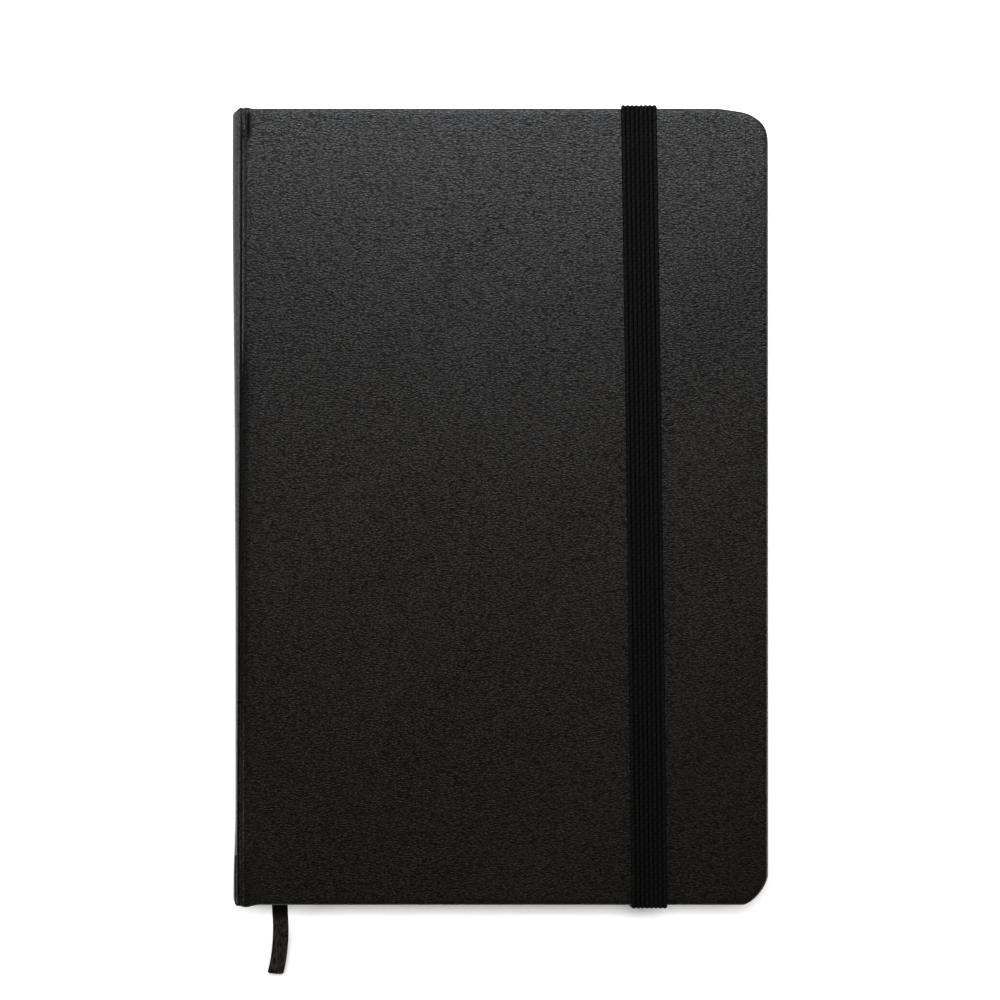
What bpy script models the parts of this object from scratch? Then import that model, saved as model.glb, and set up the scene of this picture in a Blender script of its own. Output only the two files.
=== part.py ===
"""Hard-cover sketchbook with a sewn book block, an elastic closure and a ribbon bookmark.

The book lies on its back cover. +Z is up, +Y points to the head (top edge of the pages) and +X points
to the fore-edge, so the spine is at -X. The origin is the centre of the footprint, on the surface
that the book rests on. Lengths are in metres.
"""

import math

import bmesh
import bpy
from mathutils import Vector

# ---- Driving dimensions -------------------------------------------------------------------------

BOOK_WIDTH = 0.1405          # spine to fore-edge, over the cover
BOOK_HEIGHT = 0.2100         # head to tail, over the cover
BOOK_THICKNESS = 0.0160      # closed, without the elastic

COVER_CORNER = 0.0100        # radius of the cover's two fore-edge corners, in plan
SQUARE = 0.0030              # how far the cover stands past the pages on three sides
PAGE_CORNER = 0.0080         # radius of the pages' two fore-edge corners

WRAP = 0.00040               # leatherette, on the outside and round the edges
WRAP_EDGE_ROUND = 0.00050    # rounding of the cover's outer edges
BOARD_TOP = 0.00230          # depth of the board's inner face below the cover's outer face
TURN_IN_TOP = 0.00257        # depth of the turned-in leatherette's inner face
TURN_IN = 0.0130             # width of the leatherette that is turned in over the board
WINDOW_CORNER = 0.0010       # corner radius of the opening inside the turned-in leatherette
PASTEDOWN = 0.00015          # endpaper thickness
PASTEDOWN_START = 0.00259    # depth of the pasted half of the endpaper
FLYLEAF_START = 0.00278      # depth of the free half of the endpaper

SIGNATURES_PER_HALF = 6
BLOCK_START = 0.00295        # depth of the first signature below the cover's outer face
RIBBON_GAP = 0.00034         # room for the ribbon between the two halves of the block
LEAF = 0.00019               # drawing paper
LEAF_GAP = 0.000012          # air between two nested sheets
SIGNATURE_GAP = 0.000015     # air between two signatures

SPINE_STRIP = 0.00160        # thickness of the spine over its leatherette and its card
SPINE_END = 0.00035          # how far the spine's long edges stay inside the book's thickness
SPINE_ROUND = 0.00110        # rounding of the spine's two long outer edges
BOARD_SPINE_EDGE = 0.00360   # spine's outer face to the boards' wrapped spine edge
FOLD_DEPTH = 0.00225         # spine's outer face to the folds of the signatures
HINGE_DEPTH = 0.00120        # joint axes lie this far inside the spine's and the covers' outer faces
HALF_TRAVEL = 0.00220        # pivot offset of the signatures beside the middle of the block

ELASTIC_WIDTH = 0.0093
ELASTIC_THICKNESS = 0.00080
ELASTIC_X_HEAD = 0.0364      # centre line where the band crosses the head edge
ELASTIC_X_TAIL = 0.0392      # centre line where it crosses the tail edge
ELASTIC_X_SLIT = 0.0378      # centre line of the two slits in the back cover
ELASTIC_CLEARANCE = 0.00006  # air between the band and the cover
ELASTIC_BEND = 0.00020       # inner radius of the band where it turns round the cover's edges
ELASTIC_LEAD = 0.00045       # how far the band's slope stays inside the two ends of a slit
ELASTIC_SETTLE = 0.00012     # rise of the band at each end of that slope
ELASTIC_RUN = 0.0010         # level part of the band before and after a slit
ELASTIC_END_GAP = 0.0005     # band's glued end from the end of its recess

RIBBON_WIDTH = 0.0042
RIBBON_THICKNESS = 0.00020
RIBBON_X_HEAD = -0.0650      # where the ribbon leaves the fold at the head
RIBBON_X_TAIL = -0.0587      # where it leaves the pages at the tail
RIBBON_END = (-0.0600, -0.1253)   # middle of the cut end, on the surface that the book rests on
RIBBON_INSET = 0.0002        # ribbon's hidden end from the head of the pages
RIBBON_OUT = 0.0001          # start of the hanging end past the tail of the pages
RIBBON_REST = 0.0002         # air under the flat end
RIBBON_TURN = 53             # degrees that each of the two easy bends turns through

STITCH_LINES = 5
STITCH_MARGIN = 0.0150       # outermost stitches from the ends of the pages
STITCH_DEPTH = 0.002105      # spine's outer face to the middle of the thread
STITCH_SWING = 0.00045       # sideways step of the thread from fold to fold
STITCH_WINDOW = 0.00080      # half the width of the opening in the glue at each line of stitches
STITCH_SIDE = 0.00030        # ends of that opening from the block's two faces
THREAD = 0.00018

LINING = (0.00162, 0.00176)      # depths of the paper lining below the spine's outer face
SPINE_MULL = (0.00178, 0.00196)  # depths of the mull on the spine
SPINE_GLUE = (0.00198, 0.00223)  # depths of the adhesive over the folds
LAYER_INSET = 0.00020            # how far the linings stay inside the block's two faces
LINING_MARGIN = 0.0010           # lining's ends from the ends of the pages
MULL_MARGIN = 0.0120             # mull's ends from the ends of the pages
GLUE_MARGIN = 0.0005             # adhesive's ends from the ends of the pages
MULL_FLAP_START = 0.0006         # mull's flap on a board, from the board's spine edge
MULL_FLAP_END = 0.0240

HEADBAND_RADIUS = 0.00055
HEADBAND_DEPTH = 0.00285         # spine's outer face to the middle of the roll
HEADBAND_RISE = 0.00085          # middle of the roll past the ends of the pages
HEADBAND_BOW = 0.00035           # extra rise at the middle of the roll

# ---- Derived places -----------------------------------------------------------------------------

X_SPINE = -BOOK_WIDTH / 2
X_FORE = BOOK_WIDTH / 2
Y_EDGE = BOOK_HEIGHT / 2
X_BOARD = X_SPINE + BOARD_SPINE_EDGE
X_FOLD = X_SPINE + FOLD_DEPTH
X_PAGE = X_FORE - SQUARE
Y_PAGE = Y_EDGE - SQUARE
Z_MIDDLE = BOOK_THICKNESS / 2
HINGE_X = X_SPINE + HINGE_DEPTH
BACK_HINGE = Vector((HINGE_X, 0.0, HINGE_DEPTH))
FRONT_HINGE = Vector((HINGE_X, 0.0, BOOK_THICKNESS - HINGE_DEPTH))
HALF_BLOCK = Z_MIDDLE - RIBBON_GAP / 2 - BLOCK_START
SIGNATURE_PITCH = HALF_BLOCK / SIGNATURES_PER_HALF
SIGNATURE = SIGNATURE_PITCH - SIGNATURE_GAP
SLIT_WIDTH = ELASTIC_WIDTH + 0.0006
CHANNEL_DEPTH = ELASTIC_THICKNESS + 3 * ELASTIC_CLEARANCE
SLIT_INNER = Y_EDGE - 0.0110     # where the channel's inner end is, from the middle
SLIT_OUTER = Y_EDGE - 0.0070     # where the inner recess's outer end is
RECESS_INNER = Y_EDGE - 0.0290   # where the recess for the glued end stops
GLUE_LINE = 0.00002              # clearance between two layers that are glued together
CUT_MARGIN = 0.0010              # how far a cutter reaches past what it cuts
TINY = 0.0000005


# ---- Scene, collections and materials -----------------------------------------------------------

def clear_scene():
    for obj in list(bpy.data.objects):
        bpy.data.objects.remove(obj, do_unlink=True)


def make_collection(name):
    collection = bpy.data.collections.new(name)
    bpy.context.scene.collection.children.link(collection)
    return collection


def make_material(name, colour, roughness, metallic=0.0):
    material = bpy.data.materials.new(name)
    material.use_nodes = True
    shader = material.node_tree.nodes["Principled BSDF"]
    shader.inputs["Base Color"].default_value = (*colour, 1.0)
    shader.inputs["Roughness"].default_value = roughness
    shader.inputs["Metallic"].default_value = metallic
    return material


def leatherette():
    return make_material("black_leatherette", (0.018, 0.018, 0.020), 0.55)


def greyboard():
    return make_material("greyboard", (0.30, 0.28, 0.25), 0.90)


def drawing_paper():
    return make_material("drawing_paper", (0.86, 0.83, 0.75), 0.85)


def endpaper():
    return make_material("endpaper", (0.80, 0.77, 0.69), 0.85)


def kraft_paper():
    return make_material("kraft_paper", (0.45, 0.33, 0.20), 0.85)


def mull_cloth():
    return make_material("mull_cloth", (0.75, 0.72, 0.64), 0.95)


def adhesive():
    return make_material("adhesive", (0.82, 0.80, 0.72), 0.45)


def sewing_thread():
    return make_material("sewing_thread", (0.85, 0.83, 0.78), 0.80)


def black_elastic():
    return make_material("black_elastic", (0.010, 0.010, 0.011), 0.75)


def black_satin():
    return make_material("black_satin", (0.030, 0.026, 0.022), 0.45)


def headband_cloth():
    return make_material("headband_cloth", (0.05, 0.05, 0.05), 0.80)


# ---- Shape helpers ------------------------------------------------------------------------------

def link_object(name, mesh, collection, centre=Vector((0, 0, 0)), frame=None):
    """Put a mesh in the scene with its own centre at a place given in the book's frame."""
    obj = bpy.data.objects.new(name, mesh)
    collection.objects.link(obj)
    obj.location = centre
    if frame is not None:
        obj.parent = frame
        obj.location = centre - Vector(frame["place"])
    return obj


def box_mesh(name, size):
    """A box of the given size around its own centre."""
    bm = bmesh.new()
    bmesh.ops.create_cube(bm, size=1.0)
    bmesh.ops.scale(bm, vec=size, verts=bm.verts)
    mesh = bpy.data.meshes.new(name)
    bm.to_mesh(mesh)
    bm.free()
    return mesh


def bevel_edges(mesh, chosen, width, segments):
    """Round the edges for which chosen(edge) is true."""
    bm = bmesh.new()
    bm.from_mesh(mesh)
    edges = [edge for edge in bm.edges if chosen(edge)]
    bmesh.ops.bevel(bm, geom=edges, offset=width, segments=segments, profile=0.5, affect="EDGES",
                    clamp_overlap=False)
    bmesh.ops.remove_doubles(bm, verts=bm.verts, dist=TINY)
    bm.to_mesh(mesh)
    bm.free()


def make_box(name, low, high, collection, frame=None):
    low = Vector(low)
    high = Vector(high)
    return link_object(name, box_mesh(name, high - low), collection, (low + high) / 2, frame)


def make_panel(name, low, high, corner, collection, frame=None):
    """A box whose two upright edges at the fore-edge are rounded in plan."""
    panel = make_box(name, low, high, collection, frame)
    reach = max(vert.co.x for vert in panel.data.vertices)

    def at_fore_edge(edge):
        upright = abs(edge.verts[0].co.z - edge.verts[1].co.z) > TINY
        return upright and min(vert.co.x for vert in edge.verts) > reach - TINY

    bevel_edges(panel.data, at_fore_edge, corner, 8)
    return panel


def round_outer_rim(panel, outward, width):
    """Round the rim of a panel's outer face (outward is -1 or +1 in Z), except along the spine."""
    level = outward * max(vert.co.z for vert in panel.data.vertices)
    spine = min(vert.co.x for vert in panel.data.vertices)

    def on_rim(edge):
        on_face = all(abs(vert.co.z - level) < TINY for vert in edge.verts)
        on_border = any(abs(face.normal.z) < 0.5 for face in edge.link_faces)
        at_spine = all(vert.co.x < spine + TINY for vert in edge.verts)
        return on_face and on_border and not at_spine

    bevel_edges(panel.data, on_rim, width, 2)


def extrude_outline(name, points, depth, collection):
    """A flat outline of (across, up) points in the XZ plane, extruded along Y about its middle."""
    curve = bpy.data.curves.new(name, "CURVE")
    curve.dimensions = "2D"
    curve.fill_mode = "BOTH"
    curve.extrude = depth / 2
    spline = curve.splines.new("POLY")
    spline.points.add(len(points) - 1)
    for point, (across, up) in zip(spline.points, points):
        point.co = (across, up, 0.0, 1.0)
    spline.use_cyclic_u = True
    outline = bpy.data.objects.new(name, curve)
    collection.objects.link(outline)
    outline.rotation_euler = (math.radians(90), 0.0, 0.0)
    return mesh_from_curve(outline, collection)


def mesh_from_curve(outline, collection):
    """Replace a curve object by the closed mesh that it draws."""
    name = outline.name
    bpy.context.view_layer.update()
    evaluated = outline.evaluated_get(bpy.context.evaluated_depsgraph_get())
    mesh = bpy.data.meshes.new_from_object(evaluated)
    matrix = outline.matrix_world.copy()
    bpy.data.objects.remove(outline, do_unlink=True)
    bm = bmesh.new()
    bm.from_mesh(mesh)
    bmesh.ops.remove_doubles(bm, verts=bm.verts, dist=TINY)
    bmesh.ops.recalc_face_normals(bm, faces=bm.faces)
    bm.to_mesh(mesh)
    bm.free()
    solid = bpy.data.objects.new(name, mesh)
    collection.objects.link(solid)
    solid.matrix_world = matrix
    return solid


def attach(obj, frame):
    """Parent an object that stands at its place in the book to a body's frame, without moving it."""
    obj.parent = frame
    obj.location = obj.location - Vector(frame["place"])


def hide_cutter(cutter):
    cutter.hide_render = True
    cutter.display_type = "WIRE"


def boolean(target, other, operation="DIFFERENCE"):
    modifier = target.modifiers.new("Boolean", "BOOLEAN")
    modifier.object = other
    modifier.operation = operation
    modifier.solver = "EXACT"


def smooth_by_angle(obj, degrees=35):
    obj.data.shade_smooth()
    obj.data.set_sharp_from_angle(angle=math.radians(degrees))


def strip_along(name, stations, width, thickness, collection):
    """A flat strip of even width along stations (x, y, z), with its width along X."""
    bm = bmesh.new()
    bmesh.ops.create_grid(bm, x_segments=1, y_segments=len(stations) - 1, size=0.5)
    bm.verts.ensure_lookup_table()
    ordered = sorted(bm.verts, key=lambda vert: (round(vert.co.y, 5), vert.co.x))
    for number, (x, y, z) in enumerate(stations):
        ordered[2 * number].co = (x - width / 2, y, z)
        ordered[2 * number + 1].co = (x + width / 2, y, z)
    bmesh.ops.recalc_face_normals(bm, faces=bm.faces)
    mesh = bpy.data.meshes.new(name)
    bm.to_mesh(mesh)
    bm.free()
    strip = link_object(name, mesh, collection)
    shell = strip.modifiers.new("Solidify", "SOLIDIFY")
    shell.thickness = thickness
    shell.offset = 0.0
    shell.use_even_offset = True
    return strip


def body_frame(name, place, collection, parent=None):
    """An empty on a body's joint axis, given in the book's frame."""
    frame = bpy.data.objects.new(name, None)
    collection.objects.link(frame)
    frame.empty_display_size = 0.005
    frame["place"] = tuple(place)
    frame.location = place
    if parent is not None:
        frame.parent = parent
        frame.location = Vector(place) - Vector(parent["place"])
    return frame


def cover_span(side, near, far):
    """Z range of a layer between two depths below a cover's outer face (side -1 back, +1 front)."""
    if side < 0:
        return near, far
    return BOOK_THICKNESS - far, BOOK_THICKNESS - near


# ---- The case -----------------------------------------------------------------------------------

def slit_cutter(name, end, collection):
    """The band's way through the back cover: channel outside, slit, and recess inside.

    end is +1 at the head and -1 at the tail.
    """
    outside = -CUT_MARGIN
    inside = TURN_IN_TOP + CUT_MARGIN
    recess_floor = BOARD_TOP - CHANNEL_DEPTH
    points = [
        (end * (Y_EDGE + CUT_MARGIN), outside),
        (end * (Y_EDGE + CUT_MARGIN), CHANNEL_DEPTH),
        (end * SLIT_OUTER, CHANNEL_DEPTH),
        (end * SLIT_OUTER, inside),
        (end * RECESS_INNER, inside),
        (end * RECESS_INNER, recess_floor),
        (end * SLIT_INNER, recess_floor),
        (end * SLIT_INNER, outside),
    ]
    if end < 0:
        points.reverse()
    cutter = extrude_outline(name, points, SLIT_WIDTH, collection)
    cutter.rotation_euler = (math.radians(90), 0.0, math.radians(90))
    cutter.location = (ELASTIC_X_SLIT, 0.0, 0.0)
    hide_cutter(cutter)
    return cutter


def make_board(name, side, frame, parts, material):
    inset = WRAP + GLUE_LINE
    low_z, high_z = cover_span(side, inset, BOARD_TOP)
    board = make_panel(
        name,
        (X_BOARD + inset, -Y_EDGE + inset, low_z),
        (X_FORE - inset, Y_EDGE - inset, high_z),
        COVER_CORNER - inset, parts, frame)
    board.data.materials.append(material)
    return board


def make_cover_wrap(name, side, frame, parts, cutters, material):
    """Leatherette over a board: outside, round four edges, and turned in on three sides."""
    low_z, high_z = cover_span(side, 0.0, TURN_IN_TOP)
    wrap = make_panel(
        name,
        (X_BOARD, -Y_EDGE, low_z), (X_FORE, Y_EDGE, high_z), COVER_CORNER, parts, frame)
    round_outer_rim(wrap, side, WRAP_EDGE_ROUND)
    wrap.data.materials.append(material)

    pocket_z = cover_span(side, WRAP, BOARD_TOP + GLUE_LINE)
    pocket = make_panel(
        name + "_pocket",
        (X_BOARD + WRAP, -Y_EDGE + WRAP, pocket_z[0]),
        (X_FORE - WRAP, Y_EDGE - WRAP, pocket_z[1]),
        COVER_CORNER - WRAP, cutters)
    hide_cutter(pocket)
    boolean(wrap, pocket)

    window_z = cover_span(side, BOARD_TOP - WRAP, TURN_IN_TOP + CUT_MARGIN)
    window = make_panel(
        name + "_window",
        (X_BOARD - CUT_MARGIN, -Y_EDGE + TURN_IN, window_z[0]),
        (X_FORE - TURN_IN, Y_EDGE - TURN_IN, window_z[1]),
        WINDOW_CORNER, cutters)
    hide_cutter(window)
    boolean(wrap, window)
    return wrap


def make_spine_wrap(frame, parts, cutters, material):
    """Leatherette over the spine's card: outside, over both long edges and both ends."""
    wrap = make_box(
        "spine_wrap",
        (X_SPINE, -Y_EDGE, SPINE_END),
        (X_SPINE + SPINE_STRIP, Y_EDGE, BOOK_THICKNESS - SPINE_END), parts, frame)
    outer = min(vert.co.x for vert in wrap.data.vertices)

    def long_outer_edge(edge):
        outside = all(vert.co.x < outer + TINY for vert in edge.verts)
        return outside and abs(edge.verts[0].co.y - edge.verts[1].co.y) > TINY

    bevel_edges(wrap.data, long_outer_edge, SPINE_ROUND, 4)
    wrap.data.materials.append(material)
    cavity = make_box(
        "spine_wrap_cavity",
        (X_SPINE + WRAP, -Y_EDGE + WRAP, SPINE_END + WRAP),
        (X_SPINE + SPINE_STRIP + CUT_MARGIN, Y_EDGE - WRAP, BOOK_THICKNESS - SPINE_END - WRAP),
        cutters)
    hide_cutter(cavity)
    boolean(wrap, cavity)
    smooth_by_angle(wrap)
    return wrap


def make_spine_board(frame, parts, material):
    inset = WRAP + GLUE_LINE
    board = make_box(
        "spine_board",
        (X_SPINE + inset, -Y_EDGE + inset, SPINE_END + inset),
        (X_SPINE + SPINE_STRIP, Y_EDGE - inset, BOOK_THICKNESS - SPINE_END - inset), parts, frame)

    def long_outer_edge(edge):
        outside = all(vert.co.x < 0 for vert in edge.verts)
        return outside and abs(edge.verts[0].co.y - edge.verts[1].co.y) > TINY

    bevel_edges(board.data, long_outer_edge, SPINE_ROUND / 4, 2)
    board.data.materials.append(material)


# ---- The book block -----------------------------------------------------------------------------

def folded_outline(fold_x, low_z, high_z, sheet, open_x, steps=6):
    """Outline of a folded sheet in the XZ plane: two leaves joined by a round fold at fold_x."""
    outer = (high_z - low_z) / 2
    inner = outer - sheet
    centre_x = fold_x + outer
    centre_z = (low_z + high_z) / 2
    points = [(open_x, low_z)]
    for step in range(steps + 1):
        angle = math.radians(270 - 180 * step / steps)
        points.append((centre_x + outer * math.cos(angle), centre_z + outer * math.sin(angle)))
    points.append((open_x, high_z))
    points.append((open_x, high_z - sheet))
    for step in range(steps + 1):
        angle = math.radians(90 + 180 * step / steps)
        points.append((centre_x + inner * math.cos(angle), centre_z + inner * math.sin(angle)))
    points.append((open_x, low_z + sheet))
    return points


def make_folded_sheet(name, fold_x, low_z, high_z, sheet, frame, parts, outline, material, steps=6):
    open_x = X_PAGE + CUT_MARGIN
    points = folded_outline(fold_x, low_z, high_z, sheet, open_x, steps)
    folded = extrude_outline(name, points, BOOK_HEIGHT, parts)
    attach(folded, frame)
    folded.data.materials.append(material)
    boolean(folded, outline, "INTERSECT")
    return folded


def make_page_outline(cutters):
    """The trimmed shape of the pages, as a tall block."""
    outline = make_panel(
        "page_outline",
        (X_SPINE, -Y_PAGE, -CUT_MARGIN), (X_PAGE, Y_PAGE, BOOK_THICKNESS + CUT_MARGIN),
        PAGE_CORNER, cutters)
    hide_cutter(outline)
    return outline


def signature_pivot(half, order):
    """Pivot of a signature on the spine. order is 1 beside the cover, up to the middle of the block."""
    offset = HALF_TRAVEL * order / SIGNATURES_PER_HALF
    if half < 0:
        return BACK_HINGE + Vector((offset, 0.0, offset))
    return FRONT_HINGE + Vector((offset, 0.0, -offset))


def make_signature(number, spine_frame, parts, outline, material):
    """One sewn section of two nested folded sheets, with its frame on its pivot."""
    half = -1 if number <= SIGNATURES_PER_HALF else 1
    order = number if half < 0 else 2 * SIGNATURES_PER_HALF + 1 - number
    near = BLOCK_START + (order - 1) * SIGNATURE_PITCH + SIGNATURE_GAP / 2
    low_z, high_z = cover_span(half, near, near + SIGNATURE)
    frame = body_frame(f"signature_{number:02d}", signature_pivot(half, order), parts, spine_frame)
    make_folded_sheet(
        f"signature_{number:02d}_outer_sheet", X_FOLD, low_z, high_z, LEAF,
        frame, parts, outline, material)
    inset = LEAF + LEAF_GAP
    make_folded_sheet(
        f"signature_{number:02d}_inner_sheet", X_FOLD + inset, low_z + inset, high_z - inset, LEAF,
        frame, parts, outline, material, steps=4)
    return frame


def make_endpaper(name, side, frame, parts, outline, material):
    """A folded sheet: its outer half is pasted to the board, its inner half is the flyleaf."""
    low_z, high_z = cover_span(side, PASTEDOWN_START, FLYLEAF_START + PASTEDOWN)
    make_folded_sheet(
        name, X_FOLD, low_z, high_z, PASTEDOWN, frame, parts, outline, material, steps=4)


# ---- Spine linings, thread and headbands --------------------------------------------------------

def spine_layer(name, depths, end_margin, side_margin, frame, parts, material):
    """A thin coat over the folds, between two depths from the spine's outer face."""
    half_height = Y_PAGE - end_margin
    low_z = BLOCK_START + side_margin
    layer = make_box(
        name,
        (X_SPINE + depths[0], -half_height, low_z),
        (X_SPINE + depths[1], half_height, BOOK_THICKNESS - low_z), parts, frame)
    layer.data.materials.append(material)
    return layer


def stitch_places():
    """Y of each line of stitches: five lines, evenly spread and kept clear of the ends."""
    reach = Y_PAGE - STITCH_MARGIN
    return [reach - 2 * reach * number / (STITCH_LINES - 1) for number in range(STITCH_LINES)]


def make_spine_glue(frame, parts, cutters, material):
    """Adhesive over the folds, open where the thread crosses from fold to fold."""
    glue = spine_layer("spine_glue", SPINE_GLUE, GLUE_MARGIN, 0.0, frame, parts, material)
    low_z = BLOCK_START + STITCH_SIDE
    for number, y in enumerate(stitch_places(), start=1):
        window = make_box(
            f"stitch_window_{number}",
            (X_SPINE + SPINE_GLUE[0] - CUT_MARGIN, y - STITCH_WINDOW, low_z),
            (X_SPINE + SPINE_GLUE[1] + CUT_MARGIN, y + STITCH_WINDOW, BOOK_THICKNESS - low_z),
            cutters)
        hide_cutter(window)
        boolean(glue, window)


def make_stitch_line(number, y, frame, parts, material):
    """Link stitches: one thread that steps from fold to fold across the back of the block."""
    curve = bpy.data.curves.new(f"stitch_line_{number}", "CURVE")
    curve.dimensions = "3D"
    curve.bevel_depth = THREAD / 2
    curve.bevel_resolution = 1
    curve.use_fill_caps = True
    folds = 2 * SIGNATURES_PER_HALF
    first = BLOCK_START + SIGNATURE_PITCH / 2
    rise = (BOOK_THICKNESS - 2 * first) / (folds - 1)
    spline = curve.splines.new("POLY")
    spline.points.add(folds - 1)
    for index, point in enumerate(spline.points):
        swing = STITCH_SWING if index % 2 else -STITCH_SWING
        point.co = (X_SPINE + STITCH_DEPTH, y + swing, first + rise * index, 1.0)
    thread = bpy.data.objects.new(f"stitch_line_{number}", curve)
    parts.objects.link(thread)
    stitches = mesh_from_curve(thread, parts)
    attach(stitches, frame)
    stitches.data.materials.append(material)
    smooth_by_angle(stitches, 60)


def make_headband(name, end, frame, parts, material):
    """A rolled band that closes the end of the block's spine; end is +1 at the head."""
    curve = bpy.data.curves.new(name, "CURVE")
    curve.dimensions = "3D"
    curve.bevel_depth = HEADBAND_RADIUS
    curve.bevel_resolution = 3
    curve.use_fill_caps = True
    spline = curve.splines.new("POLY")
    steps = 6
    spline.points.add(steps)
    low_z = BLOCK_START + LAYER_INSET
    length = BOOK_THICKNESS - 2 * low_z
    for index, point in enumerate(spline.points):
        share = index / steps
        rise = HEADBAND_RISE + HEADBAND_BOW * math.sin(math.pi * share)
        point.co = (X_SPINE + HEADBAND_DEPTH, end * (Y_PAGE + rise), low_z + length * share, 1.0)
    roll = bpy.data.objects.new(name, curve)
    parts.objects.link(roll)
    band = mesh_from_curve(roll, parts)
    attach(band, frame)
    band.data.materials.append(material)
    smooth_by_angle(band, 60)


# ---- Elastic and ribbon -------------------------------------------------------------------------

def arc_stations(centre, radius, start, stop, steps=4):
    """(y, z) points round a centre from one angle to another, in degrees."""
    points = []
    for step in range(steps + 1):
        angle = math.radians(start + (stop - start) * step / steps)
        points.append((centre[0] + radius * math.cos(angle), centre[1] + radius * math.sin(angle)))
    return points


def elastic_half():
    """(y, z) stations of the band's middle, from its glued end to the front face, at the head."""
    half = ELASTIC_THICKNESS / 2
    bend = half + ELASTIC_BEND
    outer_y = Y_EDGE + ELASTIC_CLEARANCE + half
    low_z = ELASTIC_CLEARANCE + half
    high_z = BOOK_THICKNESS + ELASTIC_CLEARANCE + half
    inner_z = BOARD_TOP - ELASTIC_CLEARANCE - half
    stations = [
        (RECESS_INNER + ELASTIC_END_GAP, inner_z),
        (SLIT_INNER - ELASTIC_RUN, inner_z),
        (SLIT_INNER + ELASTIC_LEAD, inner_z - ELASTIC_SETTLE),
        (SLIT_OUTER - ELASTIC_LEAD, low_z + ELASTIC_SETTLE),
        (SLIT_OUTER + ELASTIC_RUN, low_z),
    ]
    stations += arc_stations((outer_y - bend, low_z + bend), bend, 270, 360)
    stations += arc_stations((outer_y - bend, high_z - bend), bend, 0, 90)
    return stations


def elastic_stations():
    """(x, y, z) stations of the whole band: it leans a little between head and tail on the front."""
    head = elastic_half()
    stations = []
    for y, z in head:
        share = min(max(z / BOOK_THICKNESS, 0.0), 1.0)
        stations.append((ELASTIC_X_SLIT + (ELASTIC_X_HEAD - ELASTIC_X_SLIT) * share, y, z))
    for y, z in reversed(head):
        share = min(max(z / BOOK_THICKNESS, 0.0), 1.0)
        stations.append((ELASTIC_X_SLIT + (ELASTIC_X_TAIL - ELASTIC_X_SLIT) * share, -y, z))
    return stations


def make_elastic(frame, parts, material):
    band = strip_along("elastic_band", elastic_stations(), ELASTIC_WIDTH, ELASTIC_THICKNESS, parts)
    attach(band, frame)
    band.data.materials.append(material)
    smooth_by_angle(band)


def ribbon_in_block():
    """(x, y, z) stations of the ribbon between the two halves of the block."""
    steps = 12
    start_y = Y_PAGE - RIBBON_INSET
    stations = []
    for step in range(steps + 1):
        share = step / steps
        ease = share * share * (3 - 2 * share)
        x = RIBBON_X_HEAD + (RIBBON_X_TAIL - RIBBON_X_HEAD) * ease
        stations.append((x, start_y - 2 * start_y * share, Z_MIDDLE))
    return stations


def ribbon_tail_stations():
    """(x, y, z) stations of the hanging end: over in two easy bends, then flat on the surface."""
    start_y = -Y_PAGE - RIBBON_OUT
    rest_z = RIBBON_THICKNESS / 2 + RIBBON_REST
    drop = Z_MIDDLE - rest_z
    turn = math.radians(RIBBON_TURN)
    bend = drop / (2 * (1 - math.cos(turn)))
    profile = []
    steps = 6
    for step in range(steps + 1):
        angle = turn * step / steps
        profile.append((bend * math.sin(angle), Z_MIDDLE - bend * (1 - math.cos(angle))))
    run = 2 * bend * math.sin(turn)
    for step in range(steps - 1, -1, -1):
        angle = turn * step / steps
        profile.append((run - bend * math.sin(angle), rest_z + bend * (1 - math.cos(angle))))
    end_x, end_y = RIBBON_END
    reach = start_y - end_y
    profile.append(((run + reach) / 2, rest_z))
    profile.append((reach, rest_z))
    return [(RIBBON_X_TAIL + (end_x - RIBBON_X_TAIL) * (away / reach) ** 2, start_y - away, z)
            for away, z in profile]


def make_ribbon(name, stations, frame, parts, material):
    ribbon = strip_along(name, stations, RIBBON_WIDTH, RIBBON_THICKNESS, parts)
    attach(ribbon, frame)
    ribbon.data.materials.append(material)
    return ribbon


# ---- Assembly -----------------------------------------------------------------------------------

def make_back_cover(frame, parts, cutters, looks, outline):
    board = make_board("back_board", -1, frame, parts, looks["board"])
    wrap = make_cover_wrap("back_cover_wrap", -1, frame, parts, cutters, looks["leatherette"])
    for name, end in (("slit_head", 1), ("slit_tail", -1)):
        cutter = slit_cutter(name, end, cutters)
        boolean(board, cutter)
        boolean(wrap, cutter)
    smooth_by_angle(wrap)
    smooth_by_angle(board)
    make_mull_flap("mull_back_flap", -1, frame, parts, looks["mull"])
    make_endpaper("back_endpaper", -1, frame, parts, outline, looks["endpaper"])
    make_elastic(frame, parts, looks["elastic"])


def make_mull_flap(name, side, frame, parts, material):
    """The part of the mull that is glued over the board, under the endpaper."""
    low_z, high_z = cover_span(side, BOARD_TOP + GLUE_LINE, TURN_IN_TOP - 2 * GLUE_LINE)
    half_height = Y_PAGE - MULL_MARGIN
    flap = make_box(
        name,
        (X_BOARD + MULL_FLAP_START, -half_height, low_z),
        (X_BOARD + MULL_FLAP_END, half_height, high_z), parts, frame)
    flap.data.materials.append(material)


def make_front_cover(frame, parts, cutters, looks, outline):
    make_board("front_board", 1, frame, parts, looks["board"])
    wrap = make_cover_wrap("front_cover_wrap", 1, frame, parts, cutters, looks["leatherette"])
    smooth_by_angle(wrap)
    make_mull_flap("mull_front_flap", 1, frame, parts, looks["mull"])
    make_endpaper("front_endpaper", 1, frame, parts, outline, looks["endpaper"])


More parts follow.
